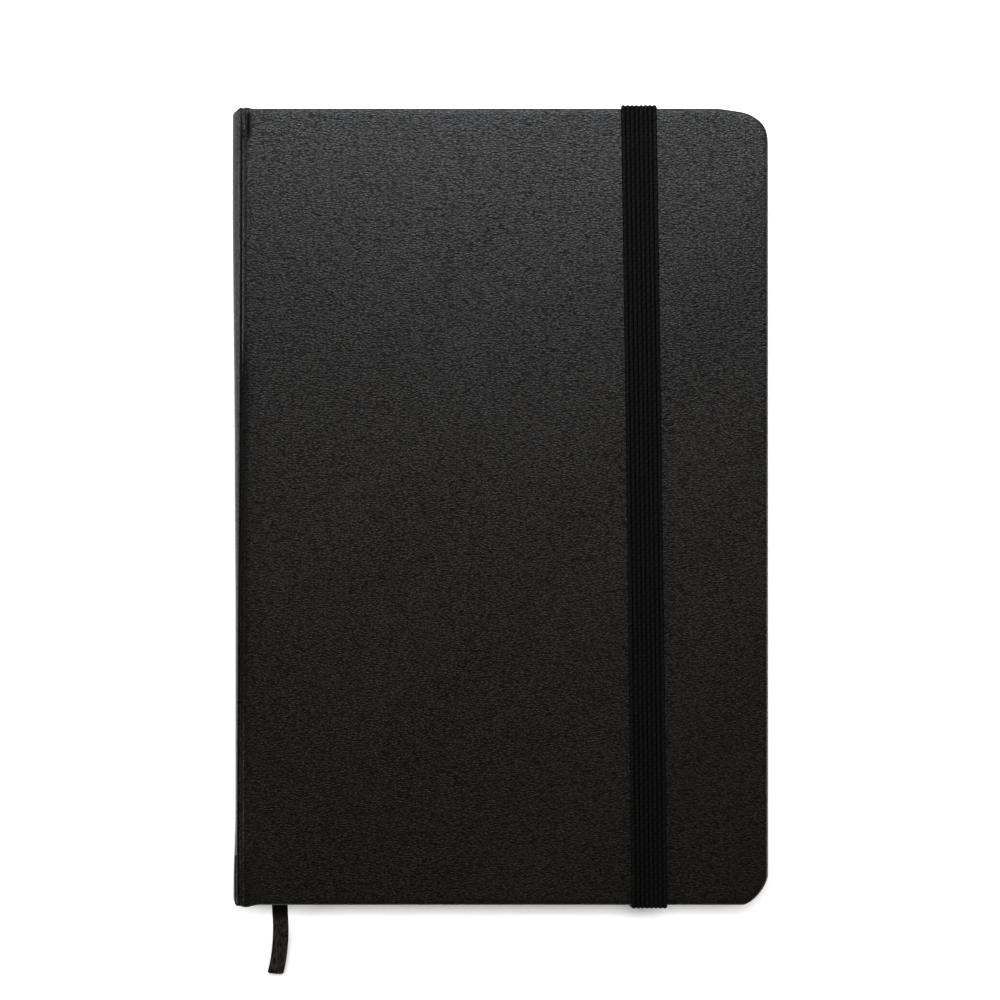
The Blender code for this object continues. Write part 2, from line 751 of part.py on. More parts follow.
def make_spine(frame, parts, cutters, looks):
    make_spine_wrap(frame, parts, cutters, looks["leatherette"])
    make_spine_board(frame, parts, looks["board"])
    spine_layer("spine_lining", LINING, LINING_MARGIN, LAYER_INSET, frame, parts, looks["kraft"])
    spine_layer("mull_spine", SPINE_MULL, MULL_MARGIN, LAYER_INSET, frame, parts, looks["mull"])
    make_spine_glue(frame, parts, cutters, looks["adhesive"])
    for number, y in enumerate(stitch_places(), start=1):
        make_stitch_line(number, y, frame, parts, looks["thread"])
    make_headband("headband", 1, frame, parts, looks["headband"])
    make_headband("tailband", -1, frame, parts, looks["headband"])


def main():
    clear_scene()
    parts = make_collection("sketchbook")
    cutters = make_collection("cutters")
    looks = {
        "leatherette": leatherette(),
        "board": greyboard(),
        "paper": drawing_paper(),
        "endpaper": endpaper(),
        "kraft": kraft_paper(),
        "mull": mull_cloth(),
        "adhesive": adhesive(),
        "thread": sewing_thread(),
        "elastic": black_elastic(),
        "satin": black_satin(),
        "headband": headband_cloth(),
    }
    outline = make_page_outline(cutters)

    back_cover = body_frame("back_cover", (0.0, 0.0, 0.0), parts)
    spine = body_frame("spine", BACK_HINGE, parts, back_cover)
    front_cover = body_frame("front_cover", FRONT_HINGE, parts, spine)

    make_back_cover(back_cover, parts, cutters, looks, outline)
    make_spine(spine, parts, cutters, looks)
    make_front_cover(front_cover, parts, cutters, looks, outline)
    frames = {}
    for number in range(1, 2 * SIGNATURES_PER_HALF + 1):
        frames[number] = make_signature(number, spine, parts, outline, looks["paper"])

    marked = frames[SIGNATURES_PER_HALF]
    make_ribbon("ribbon_bookmark", ribbon_in_block(), marked, parts, looks["satin"])
    tail_start = ribbon_tail_stations()[0]
    tail_frame = body_frame("ribbon_tail_hinge", tail_start, parts, marked)
    make_ribbon("ribbon_tail", ribbon_tail_stations(), tail_frame, parts, looks["satin"])
    bpy.context.view_layer.update()


main()
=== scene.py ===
"""A closed hard-cover sketchbook with an elastic band and a ribbon bookmark, seen from straight above.

The book lies on its back cover: +Z is up, +Y points to the head, and the spine is at -X.
"""

import math
import random

import bpy
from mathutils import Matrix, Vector
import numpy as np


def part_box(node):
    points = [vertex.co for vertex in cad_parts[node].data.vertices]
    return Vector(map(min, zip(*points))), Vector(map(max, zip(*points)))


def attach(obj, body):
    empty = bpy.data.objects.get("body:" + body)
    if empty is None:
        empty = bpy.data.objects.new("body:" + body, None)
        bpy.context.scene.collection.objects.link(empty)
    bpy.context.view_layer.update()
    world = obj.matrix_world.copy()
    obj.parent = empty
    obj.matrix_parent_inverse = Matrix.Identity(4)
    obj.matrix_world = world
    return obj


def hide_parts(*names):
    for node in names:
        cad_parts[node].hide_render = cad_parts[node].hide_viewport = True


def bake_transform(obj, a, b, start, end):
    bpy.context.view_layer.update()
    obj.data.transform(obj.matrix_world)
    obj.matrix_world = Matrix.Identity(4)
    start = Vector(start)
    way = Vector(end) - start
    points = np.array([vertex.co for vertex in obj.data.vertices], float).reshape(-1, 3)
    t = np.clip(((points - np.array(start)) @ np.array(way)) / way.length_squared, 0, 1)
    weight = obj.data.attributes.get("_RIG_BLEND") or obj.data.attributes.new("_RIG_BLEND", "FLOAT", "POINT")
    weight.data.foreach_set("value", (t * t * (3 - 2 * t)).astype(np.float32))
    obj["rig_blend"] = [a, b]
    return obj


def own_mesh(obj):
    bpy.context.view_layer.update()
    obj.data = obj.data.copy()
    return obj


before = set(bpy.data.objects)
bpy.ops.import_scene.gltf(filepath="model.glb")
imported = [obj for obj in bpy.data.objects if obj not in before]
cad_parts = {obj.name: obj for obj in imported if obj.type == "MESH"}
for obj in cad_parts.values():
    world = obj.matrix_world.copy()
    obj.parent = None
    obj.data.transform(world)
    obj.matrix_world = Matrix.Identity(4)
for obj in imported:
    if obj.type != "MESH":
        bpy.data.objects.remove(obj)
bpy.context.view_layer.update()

# ---- Places read from the frame ----

cover_low, cover_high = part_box("back_cover_wrap")
band_low, band_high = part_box("elastic_band")

X_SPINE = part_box("spine_wrap")[0][0]
X_BOARD = cover_low[0]
X_FORE = cover_high[0] + 0.00034     # the leatherette stands a little proud of the CAD's edges
Y_EDGE = cover_high[1] + 0.00028
Z_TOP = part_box("front_cover_wrap")[1][2]
Z_MIDDLE = Z_TOP / 2
BLOCK_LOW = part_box("signature_01_outer_sheet")[0][2]
BLOCK_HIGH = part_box("signature_12_outer_sheet")[1][2]
AIR = 0.00006                        # between two pieces that lie on each other


# ---- Small helpers ----

def smooth(value, low, high):
    """0 below low, 1 above high, and an even ease between them. low may be above high."""
    share = min(max((value - low) / (high - low), 0.0), 1.0)
    return share * share * (3 - 2 * share)


def hump_at(value, middle, width):
    return math.exp(-((value - middle) / width) ** 2)


def spread(low, high, steps):
    """Even values from low to high, one more than there are steps."""
    return [low + (high - low) * step / steps for step in range(steps + 1)]


def make_piece(name, verts, faces, material):
    mesh = bpy.data.meshes.new(name)
    mesh.from_pydata([tuple(vert) for vert in verts], [], faces)
    mesh.update()
    obj = bpy.data.objects.new(name, mesh)
    bpy.context.scene.collection.objects.link(obj)
    mesh.materials.append(material)
    mesh.shade_smooth()
    return obj


def store(obj, **patterns):
    """Keep a number or a vector for each vertex, for the material's pattern to follow."""
    for name, values in patterns.items():
        attributes = obj.data.attributes
        if isinstance(values[0], float):
            attributes.new(name, "FLOAT", "POINT").data.foreach_set("value", values)
        else:
            numbers = [number for vector in values for number in vector]
            attributes.new(name, "FLOAT_VECTOR", "POINT").data.foreach_set("vector", numbers)


def add_shell(obj, thickness, offset=-1.0):
    shell = obj.modifiers.new("Shell", "SOLIDIFY")
    shell.thickness = thickness
    shell.offset = offset


def path_steps(path):
    """Each point of a path, the directions ahead and to the side, and the length travelled so far."""
    travelled = 0.0
    for index, point in enumerate(path):
        here = Vector(point)
        before = Vector(path[max(index - 1, 0)])
        ahead = (Vector(path[min(index + 1, len(path) - 1)]) - before).normalized()
        if index:
            travelled += (here - before).length
        yield here, ahead, (Vector((1.0, 0.0, 0.0)) - ahead * ahead.x).normalized(), travelled


def grid_faces(columns, rows):
    """Quads of a grid whose vertices run row by row."""
    faces = []
    for row in range(rows - 1):
        for column in range(columns - 1):
            corner = row * columns + column
            faces.append((corner, corner + 1, corner + columns + 1, corner + columns))
    return faces


def tube_faces(around, rings):
    """Quads between closed rings of vertices, and a face over each end."""
    faces = []
    for ring in range(rings - 1):
        for step in range(around):
            following = (step + 1) % around
            faces.append((ring * around + step, ring * around + following,
                          (ring + 1) * around + following, (ring + 1) * around + step))
    faces.append(tuple(reversed(range(around))))
    faces.append(tuple(range((rings - 1) * around, rings * around)))
    return faces


def middle_of(low, high, axis):
    return (low[axis] + high[axis]) / 2


# ---- Node helpers for materials ----

class Graph:
    """Short calls for the nodes of a material or a world."""

    def __init__(self, tree):
        self.tree = tree

    def node(self, kind, inputs, **settings):
        """A new node with its settings, and with a value or a link for each input that is given."""
        node = self.tree.nodes.new(kind)
        for key, value in settings.items():
            setattr(node, key, value)
        for key, value in inputs.items():
            self.feed(node.inputs[key], value)
        return node

    def feed(self, socket, value):
        if isinstance(value, bpy.types.NodeSocket):
            self.tree.links.new(value, socket)
        else:
            socket.default_value = value

    def place(self, output="Object"):
        """Coordinates. A CAD node's object coordinates are its place at rest."""
        return self.node("ShaderNodeTexCoord", {}).outputs[output]

    def scaled(self, vector, scale, turn=0.0):
        inputs = {"Vector": vector, "Scale": scale, "Rotation": (0.0, 0.0, math.radians(turn))}
        return self.node("ShaderNodeMapping", inputs).outputs["Vector"]

    def noise(self, vector, scale, detail=2.0, roughness=0.5, turn=0.0, output="Fac"):
        """Noise at one scale, or at a scale for each axis after a turn about Z."""
        if isinstance(scale, tuple):
            vector = self.scaled(vector, scale, turn)
            scale = 1.0
        inputs = {"Vector": vector, "Scale": scale, "Detail": detail, "Roughness": roughness}
        return self.node("ShaderNodeTexNoise", inputs).outputs[output]

    def cells(self, vector, feature):
        inputs = {"Vector": vector, "Scale": 1.0}
        return self.node("ShaderNodeTexVoronoi", inputs, feature=feature).outputs["Distance"]

    def wave(self, vector, direction, scale, distortion=0.0):
        inputs = {"Vector": vector, "Scale": scale, "Distortion": distortion}
        return self.node("ShaderNodeTexWave", inputs, bands_direction=direction).outputs["Fac"]

    def maths(self, operation, first, second=0.0, third=0.0):
        inputs = {0: first, 1: second, 2: third}
        return self.node("ShaderNodeMath", inputs, operation=operation).outputs[0]

    def strayed(self, vector, stray, amount):
        """A vector moved by an amount of another one."""
        inputs = {0: stray, 1: (amount, amount, amount), 2: vector}
        return self.node("ShaderNodeVectorMath", inputs, operation="MULTIPLY_ADD").outputs[0]

    def ramp(self, value, low=0.3, high=0.7, start=0.0, end=1.0, **settings):
        """A clamped ramp from (low, start) to (high, end), straight unless a setting bends it."""
        inputs = {"Value": value, "From Min": low, "From Max": high, "To Min": start, "To Max": end}
        return self.node("ShaderNodeMapRange", inputs, **settings).outputs["Result"]

    def mix(self, share, first, second):
        inputs = {"Factor": share, "A": first, "B": second}
        for key in ("A", "B"):
            if isinstance(inputs[key], tuple):
                inputs[key] = (*inputs[key], 1.0)
        return self.node("ShaderNodeMix", inputs, data_type="RGBA").outputs["Result"]


class Look(Graph):
    """A material with a Principled shader."""

    def __init__(self, name, roughness=0.5, specular=0.5):
        self.material = bpy.data.materials.new(name)
        self.material.use_nodes = True
        super().__init__(self.material.node_tree)
        self.shader = self.tree.nodes["Principled BSDF"]
        self.rough(roughness)
        self.gloss(specular)

    def attribute(self, name, output="Vector"):
        """A stored pattern. rest is the place at rest, so a grain keeps to the surface in every pose."""
        return self.node("ShaderNodeAttribute", {}, attribute_name=name).outputs[output]

    def colour(self, value):
        self.feed(self.shader.inputs["Base Color"], value)

    def rough(self, value):
        self.feed(self.shader.inputs["Roughness"], value)

    def gloss(self, value):
        self.feed(self.shader.inputs["Specular IOR Level"], value)

    def bump(self, height, distance, strength=1.0):
        inputs = {"Strength": strength, "Distance": distance, "Height": height}
        node = self.node("ShaderNodeBump", inputs)
        self.feed(self.shader.inputs["Normal"], node.outputs["Normal"])


# ---- Materials ----

GRAIN_DEPTH = 0.00006
GRAIN_DRIFT = 0.0005
PEBBLES = (980.0, 1850.0, 1850.0)      # cells for each metre along X, Y and Z
CREASES = (950.0, 3000.0, 3000.0)
PORES = (2600.0, 5200.0, 5200.0)
MULL_WEAVE = 714.2857                  # scale of the mull's wave pattern


def leatherette():
    """Black imitation leather: flat pebbles, fine creases that mostly run across, and pits whose seams get
    painted shade.

    A stored attribute is above zero where the cover has wear, and below zero where its reflection is cut, a
    painted shade.
    """
    look = Look("black_leatherette", specular=0.3)
    rest = look.attribute("rest")
    bent = look.strayed(rest, look.noise(rest, 420.0, output="Color"), GRAIN_DRIFT)
    stretched = look.scaled(bent, PEBBLES)
    pebble = look.cells(stretched, "F1")
    seam = look.cells(stretched, "DISTANCE_TO_EDGE")
    crease = look.noise(bent, CREASES, 2.0, 0.55, 6.0)
    fine = look.noise(rest, PORES, 1.0)
    groove = look.ramp(seam, 0.0, 0.22)
    fold = look.ramp(crease, 0.34, 0.62)
    height = look.maths("MULTIPLY_ADD", pebble, -0.25, look.maths("MULTIPLY", groove, 0.35))
    height = look.maths("MULTIPLY_ADD", fold, 0.45, height)
    height = look.maths("MULTIPLY_ADD", fine, 0.20, height)
    look.bump(height, GRAIN_DEPTH)
    broad = look.noise(rest, 34.0, 3.0, 0.55)
    tone = look.maths("MULTIPLY_ADD", broad, 0.5, look.maths("MULTIPLY", fine, 0.5))
    rubbed = look.attribute("rub", "Fac")
    # painted shade: the grain's seams are painted darker than its pebbles
    painted_pit_shade = look.mix(groove, (0.0012, 0.0010, 0.0009), (0.0030, 0.0025, 0.0022))
    plain = look.mix(look.ramp(tone), painted_pit_shade, (0.0040, 0.0034, 0.0030))
    look.colour(look.mix(look.maths("MULTIPLY", rubbed, tone), plain, (0.010, 0.0095, 0.009)))
    sheen = look.maths("MULTIPLY_ADD", broad, 0.05, look.ramp(height, 0.0, 1.0, 0.36, 0.29))
    look.rough(look.maths("SUBTRACT", sheen, look.maths("MULTIPLY", rubbed, 0.03)))
    # painted shade: below zero the stored mask cuts the reflection
    shine = look.maths("ADD", look.maths("MINIMUM", rubbed, 0.0), 1.0)
    look.gloss(look.maths("MULTIPLY", look.ramp(height, 0.10, 0.80, 0.10, 0.50), shine))
    return look.material


def drawing_paper(name, shade, tilt):
    """Uncoated drawing paper: cream, with a soft tooth and a few darker fibres."""
    look = Look(name, roughness=0.85, specular=0.25)
    rest = look.attribute("rest")
    tooth = look.noise(rest, (2600.0, 2600.0, 5200.0), 3.0, 0.6, tilt)
    cloud = look.noise(rest, 90.0)
    fibre = look.noise(rest, (700.0, 5200.0, 5200.0), turn=20.0 + tilt)
    cut = look.noise(rest, (60.0, 60.0, 9000.0), 1.0)
    cream = look.mix(look.ramp(cloud), shade, tuple(0.96 * part for part in shade))
    cream = look.mix(look.ramp(fibre, 0.64, 0.76, 0.0, 0.30), cream, (0.62, 0.56, 0.46))
    edge = look.attribute("edge", "Fac")
    cream = look.mix(look.maths("MULTIPLY", edge, look.ramp(cut, 0.35, 0.65)), cream,
                     tuple(0.80 * part for part in shade))
    look.colour(cream)
    look.bump(tooth, 0.00003, 0.6)
    return look.material


def endpaper():
    look = Look("endpaper", roughness=0.80, specular=0.25)
    place = look.place()
    tooth = look.noise(place, 2400.0, 3.0, 0.6)
    cloud = look.noise(place, 70.0, 3.0)
    fleck = look.noise(place, (900.0, 4200.0, 4200.0), turn=35.0)
    tint = look.mix(look.ramp(cloud), (0.80, 0.76, 0.67), (0.74, 0.70, 0.61))
    look.colour(look.mix(look.ramp(fleck, 0.66, 0.78, 0.0, 0.4), tint, (0.50, 0.44, 0.35)))
    look.bump(tooth, 0.00003, 0.6)
    return look.material


def greyboard():
    look = Look("greyboard", roughness=0.90, specular=0.2)
    place = look.place()
    pulp = look.noise(place, 900.0, 4.0, 0.7)
    fleck = look.noise(place, (1500.0, 500.0, 1500.0), 3.0, turn=25.0)
    layer = look.noise(place, (30.0, 30.0, 6000.0), 1.0)
    base = look.mix(look.ramp(pulp), (0.24, 0.22, 0.19), (0.36, 0.33, 0.29))
    base = look.mix(look.ramp(fleck, 0.62, 0.72), base, (0.14, 0.13, 0.12))
    look.colour(look.mix(look.ramp(layer, 0.4, 0.6, 0.0, 0.35), base, (0.20, 0.18, 0.16)))
    look.bump(pulp, 0.00006)
    return look.material


def mull_cloth():
    """A plain open weave, with threads along every axis."""
    look = Look("mull_cloth", roughness=0.9, specular=0.3)
    place = look.place()
    along, across, sideways = (look.wave(place, axis, MULL_WEAVE) for axis in "YZX")
    thread = look.maths("MULTIPLY", along, look.maths("MAXIMUM", across, sideways))
    slub = look.noise(place, 1200.0)
    tone = look.maths("MULTIPLY_ADD", slub, 0.3, thread)
    look.colour(look.mix(look.ramp(tone, 0.15, 0.75), (0.42, 0.39, 0.33), (0.80, 0.77, 0.69)))
    look.bump(thread, 0.00012)
    return look.material


def kraft_paper():
    look = Look("kraft_paper", roughness=0.85, specular=0.25)
    fibre = look.noise(look.place(), (2200.0, 700.0, 2200.0), 4.0, 0.65, 10.0)
    look.colour(look.mix(look.ramp(fibre), (0.46, 0.33, 0.20), (0.33, 0.22, 0.12)))
    look.bump(fibre, 0.00004)
    return look.material


def adhesive():
    look = Look("adhesive", roughness=0.40, specular=0.5)
    brushed = look.noise(look.place(), (1500.0, 260.0, 1500.0), 3.0)
    look.colour(look.mix(look.ramp(brushed), (0.82, 0.80, 0.72), (0.70, 0.66, 0.55)))
    look.rough(look.ramp(brushed, 0.3, 0.7, 0.30, 0.55))
    look.bump(brushed, 0.00010)
    return look.material


def sewing_thread():
    look = Look("sewing_thread", roughness=0.75, specular=0.3)
    twist = look.wave(look.place(), "DIAGONAL", 2600.0, 0.4)
    look.colour(look.mix(twist, (0.62, 0.59, 0.52), (0.86, 0.84, 0.79)))
    look.bump(twist, 0.00004)
    return look.material


def headband_thread():
    """Black wrapping thread with a charcoal strand in every other turn."""
    look = Look("headband_thread", roughness=0.60, specular=0.4)
    lay = look.attribute("lay")
    strand = look.wave(look.scaled(lay, (1.0, 0.35, 0.0)), "X", 520.0)
    fuzz = look.noise(lay, (6000.0, 1800.0, 1.0))
    base = look.mix(look.ramp(strand, 0.35, 0.65), (0.010, 0.010, 0.011), (0.055, 0.053, 0.050))
    look.colour(look.mix(look.ramp(fuzz, 0.35, 0.7, 0.0, 0.5), base, (0.004, 0.004, 0.004)))
    look.bump(fuzz, 0.00005)
    return look.material


def black_elastic():
    """Ribbed knitted elastic. lay is each point's distance along, across and out of the band."""
    look = Look("black_elastic", roughness=0.72, specular=0.35)
    lay = look.attribute("lay")
    stitch = look.wave(look.scaled(lay, (1.0, 0.0, 0.0)), "X", 330.0)
    slant = look.wave(look.scaled(lay, (1.0, 1.0, 0.0)), "DIAGONAL", 300.0, 0.6)
    fuzz = look.noise(lay, (2600.0, 5200.0, 1.0), 3.0, 0.65)
    yarn = look.maths("MULTIPLY_ADD", slant, 0.5, look.maths("MULTIPLY", stitch, 0.5))
    tone = look.maths("MULTIPLY_ADD", yarn, 0.7, look.maths("MULTIPLY", fuzz, 0.5))
    rib = look.attribute("rib", "Fac")
    base = look.mix(look.ramp(tone, 0.2, 0.9), (0.0014, 0.0013, 0.0013), (0.0060, 0.0056, 0.0055))
    # painted shade: between the ribs the colour is painted near black
    look.colour(look.mix(rib, (0.0006, 0.0006, 0.0006), base))
    scuff = look.noise(lay, (160.0, 420.0, 1.0), 3.0, 0.6)
    look.gloss(look.ramp(rib, 0.15, 0.85, 0.0, 0.05))
    look.rough(look.ramp(scuff, 0.35, 0.75, 0.78, 0.60))
    look.bump(look.maths("ADD", yarn, look.maths("MULTIPLY", fuzz, 0.6)), 0.00006)
    return look.material


def black_satin():
    """Narrow satin ribbon: cross threads, slanting streaks with a painted sheen, dark edges, and a painted
    shadow beside the book.
    """
    look = Look("black_satin", roughness=0.46, specular=0.14)
    lay = look.attribute("lay")
    weft = look.wave(look.scaled(lay, (1.0, 0.0, 0.0)), "X", 1250.0)
    streak = look.noise(lay, (520.0, 1700.0, 1.0), 3.0, 0.65, -28.0)
    rib = look.attribute("rib", "Fac")
    fade = look.attribute("fade", "Fac")
    # painted sheen: the slanting streaks are painted much lighter in the colour
    painted_sheen = look.mix(look.ramp(streak, 0.40, 0.70), (0.0040, 0.0034, 0.0030), (0.060, 0.052, 0.046))
    # painted shadow: near black, with little reflection, beside the book's tail edge
    base = look.mix(fade, (0.0016, 0.0014, 0.0013), painted_sheen)
    look.colour(look.mix(rib, base, (0.006, 0.0052, 0.0048)))
    look.rough(look.ramp(streak, 0.3, 0.7, 0.40, 0.58))
    look.gloss(look.ramp(fade, 0.0, 1.0, 0.02, 0.08))
    look.bump(look.maths("MULTIPLY_ADD", weft, 0.35, streak), 0.00005)
    return look.material


FLOOR_GLOW = 0.70             # glow of the floor paper, as on a light table; near the book's tail edge it is cut, a painted shadow
SHADE_REACH = 0.0050          # how far from the book the paper's glow is shaded
SHADE_TOWARDS = (0.97, 0.24)  # Y and Z of the way that the shading looks: to the book's tail edge
BELOW_FLOOR = 0.48            # share of the shading's rays that go below the floor, where all is open


def floor_paper():
    """Plain white paper for the stage that glows, with a painted shadow where the glow fades just past the
    book's tail edge.
    """
    look = Look("studio_paper", roughness=0.9, specular=0.1)
    look.feed(look.shader.inputs["Emission Color"], (1.0, 1.0, 1.0, 1.0))
    towards = look.node("ShaderNodeCombineXYZ", {"Y": SHADE_TOWARDS[0], "Z": SHADE_TOWARDS[1]})
    reach = {"Distance": SHADE_REACH, "Normal": towards.outputs["Vector"]}
    shade = look.node("ShaderNodeAmbientOcclusion", reach, samples=16)
    # painted shadow: the glow is cut where the book blocks the occlusion rays
    glow = look.ramp(shade.outputs["AO"], BELOW_FLOOR, 0.95, 0.0, FLOOR_GLOW)
    look.feed(look.shader.inputs["Emission Strength"], glow)
    tooth = look.noise(look.place(), 160.0)
    look.colour(look.mix(look.ramp(tooth), (0.875, 0.875, 0.875), (0.885, 0.885, 0.885)))
    return look.material


# ---- Camera, floor and lights ----

CAMERA_HEIGHT = 1.00
VIEW_WIDTH = 0.2642           # width of the view at the front cover
VIEW_MIDDLE = (-0.00026, 0.00179)
FLOOR_HALF = 1.6
FLOOR_STEPS = 8
WALL_GLOW = 0.85              # pale walls round the table; the ceiling is dark
CEILING_GLOW = 0.004


def make_camera():
    data = bpy.data.cameras.new("camera")
    data.sensor_width = 36.0
    data.lens = data.sensor_width * (CAMERA_HEIGHT - Z_TOP) / VIEW_WIDTH
    data.clip_start = 0.01
    data.clip_end = 20.0
    camera = bpy.data.objects.new("camera", data)
    bpy.context.scene.collection.objects.link(camera)
    camera.location = (VIEW_MIDDLE[0], VIEW_MIDDLE[1], CAMERA_HEIGHT)
    bpy.context.scene.camera = camera


def make_floor():
    line = spread(-FLOOR_HALF, FLOOR_HALF, FLOOR_STEPS)
    verts = [(x, y, 0.0) for y in line for x in line]
    floor = make_piece("floor", verts, grid_faces(len(line), len(line)), floor_paper())
    floor.location.z = -0.0001


def add_softbox(name, place, size, power, colour=(1.0, 1.0, 1.0), aim=(0.0, 0.0, 0.0)):
    data = bpy.data.lights.new(name, "AREA")
    data.shape = "RECTANGLE"
    data.size = size[0]
    data.size_y = size[1]
    data.energy = power
    data.color = colour
    light = bpy.data.objects.new(name, data)
    bpy.context.scene.collection.objects.link(light)
    light.location = place
    light.rotation_euler = (Vector(aim) - Vector(place)).to_track_quat("-Z", "Y").to_euler()


def make_lights():
    """A low soft key past the head edge, a dim lamp high above it, and a low fill on each side."""
    add_softbox("key", (0.0, 0.21, 0.23), (0.28, 0.08), 0.80, (0.86, 0.93, 1.0), (0.0, 0.06, 0.0))
    add_softbox("overhead", (0.0, 0.75, 2.40), (0.5, 0.3), 8.4, (1.0, 0.89, 0.80))
    add_softbox("left", (-1.00, 0.0, 0.36), (0.9, 0.3), 10.0)
    add_softbox("right", (1.00, 0.0, 0.36), (0.9, 0.3), 6.5)


def make_walls():
    """A world that is pale near the horizon and dark overhead."""
    world = bpy.data.worlds.new("studio")
    world.use_nodes = True
    walls = Graph(world.node_tree)
    height = walls.node("ShaderNodeSeparateXYZ", {0: walls.place("Generated")}).outputs["Z"]
    glow = walls.ramp(height, 0.10, 0.50, WALL_GLOW, CEILING_GLOW, interpolation_type="SMOOTHSTEP")
    background = world.node_tree.nodes["Background"]
    walls.feed(background.inputs["Color"], (1.0, 0.99, 0.98, 1.0))
    walls.feed(background.inputs["Strength"], glow)
    bpy.context.scene.world = world
    bpy.context.scene.view_settings.view_transform = "Standard"


# ---- Ribbon bookmark ----

RIBBON_WIDTH = 0.0042
RIBBON_THICKNESS = 0.00020
RIBBON_X_HEAD = -0.0606
RIBBON_X_TAIL = -0.05895
RIBBON_HEAD_Y = 0.1018
RIBBON_SPLIT_Y = -0.0920      # where the part that lifts begins, inside the block
RIBBON_EDGE_Y = -0.1021       # where the ribbon leaves the pages
RIBBON_END = (-0.0606, -0.1253)
RIBBON_REST_Z = 0.0003        # height of the end that lies on the surface
RIBBON_TURN = math.radians(53)   # the steepest slope on the way down to the surface
RIBBON_LIFT = 0.00003         # the ribbon lies this far above the middle of the block
END_ROUND = 0.0003            # how far the corners of the cut end are drawn in
END_SLANT = 0.00035           # half the slant of the cut end
RIPPLE = 0.00002
SHADOW_FADE_START = 0.0034           # painted shadow: the ribbon is painted dark up to here past the tail edge, and shows its streaked colour from the next value on
SHADOW_FADE_END = 0.0066


def ribbon_x(y):
    """The ribbon drifts from its place at the head to its place at the tail."""
    share = (RIBBON_HEAD_Y - y) / (2 * RIBBON_HEAD_Y)
    drift = share * share * (3 - 2 * share)
    return RIBBON_X_HEAD + (RIBBON_X_TAIL - RIBBON_X_HEAD) * drift


def ribbon_inner_path():
    z = Z_MIDDLE + RIBBON_LIFT
    return [(ribbon_x(y), y, z) for y in spread(RIBBON_HEAD_Y, RIBBON_SPLIT_Y, 30)]


def ribbon_tail_path():
    """Out of the pages, over in two easy bends, then flat on the surface under the book."""
    points = [(ribbon_x(y), y, Z_MIDDLE) for y in spread(RIBBON_SPLIT_Y, RIBBON_EDGE_Y, 5)]
    drop = Z_MIDDLE - RIBBON_REST_Z
    bend = drop / (2 * (1 - math.cos(RIBBON_TURN)))
    profile = []
    for angle in spread(0.0, RIBBON_TURN, 7)[1:]:
        profile.append((bend * math.sin(angle), Z_MIDDLE - bend * (1 - math.cos(angle))))
    run = 2 * bend * math.sin(RIBBON_TURN)
    for angle in spread(RIBBON_TURN, 0.0, 7)[1:]:
        profile.append((run - bend * math.sin(angle), RIBBON_REST_Z + bend * (1 - math.cos(angle))))
    reach = RIBBON_EDGE_Y - RIBBON_END[1]
    profile += [(away, RIBBON_REST_Z) for away in spread(run, reach, 4)[1:]]
    for away, z in profile:
        x = RIBBON_X_TAIL + (RIBBON_END[0] - RIBBON_X_TAIL) * (away / reach) ** 4
        points.append((x, RIBBON_EDGE_Y - away, z))
    return points


def path_length(points):
    return sum((Vector(b) - Vector(a)).length for a, b in zip(points, points[1:]))


def make_ribbon(name, path, material, cut_end):
    """A woven strip along a path, faintly rippled, with a slanting cut across its free end.

    Its rib attribute is 1 on the two edges, and its shadow attribute is 0 beside the book, where a shadow is
    painted.
    """
    across = spread(-1.0, 1.0, 12)
    verts = []
    lay = []
    rib = []
    fade = []
    total = path_length(path)
    for here, ahead, side, travelled in path_steps(path):
        up = ahead.cross(side)
        left = total - travelled
        for share in across:
            pull = 0.0
            if cut_end:
                pull = END_ROUND * smooth(abs(share), 0.70, 1.0) * smooth(left, 0.0012, 0.0)
                pull += END_SLANT * share * smooth(left, 0.004, 0.0)
            ripple = RIPPLE * math.sin(travelled * 900.0 + share * 1.3)
            place = here + side * (share * RIBBON_WIDTH / 2) + up * ripple - ahead * pull
            verts.append(place)
            lay.append((travelled, share * RIBBON_WIDTH / 2, 0.0))
            rib.append(smooth(abs(share), 0.80, 0.95))
            # painted shadow: 0 just past the book's tail edge, rising to 1 further out
            fade.append(smooth(-place.y, Y_EDGE + SHADOW_FADE_START, Y_EDGE + SHADOW_FADE_END))
    obj = make_piece(name, verts, grid_faces(len(across), len(path)), material)
    store(obj, lay=lay, rib=rib, fade=fade)
    add_shell(obj, RIBBON_THICKNESS, 0.0)
    return obj


def make_bookmark():
    satin = black_satin()
    inner_path = ribbon_inner_path()
    inner = make_ribbon("ribbon_in_pages", inner_path, satin, cut_end=False)
    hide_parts("ribbon_bookmark")
    start_x, end_x = gutter_span(6)
    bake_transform(inner, "signature_06", "spine", (start_x, 0.0, Z_MIDDLE), (end_x, 0.0, Z_MIDDLE))
    tail_path = ribbon_tail_path()
    tail = make_ribbon("ribbon_tail_end", tail_path, satin, cut_end=True)
    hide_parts("ribbon_tail")
    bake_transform(tail, "signature_06", "ribbon_tail",
             (RIBBON_X_TAIL, RIBBON_EDGE_Y + 0.0006, Z_MIDDLE),
             (RIBBON_X_TAIL, RIBBON_EDGE_Y - 0.0022, Z_MIDDLE))


# ---- Leatherette case ----

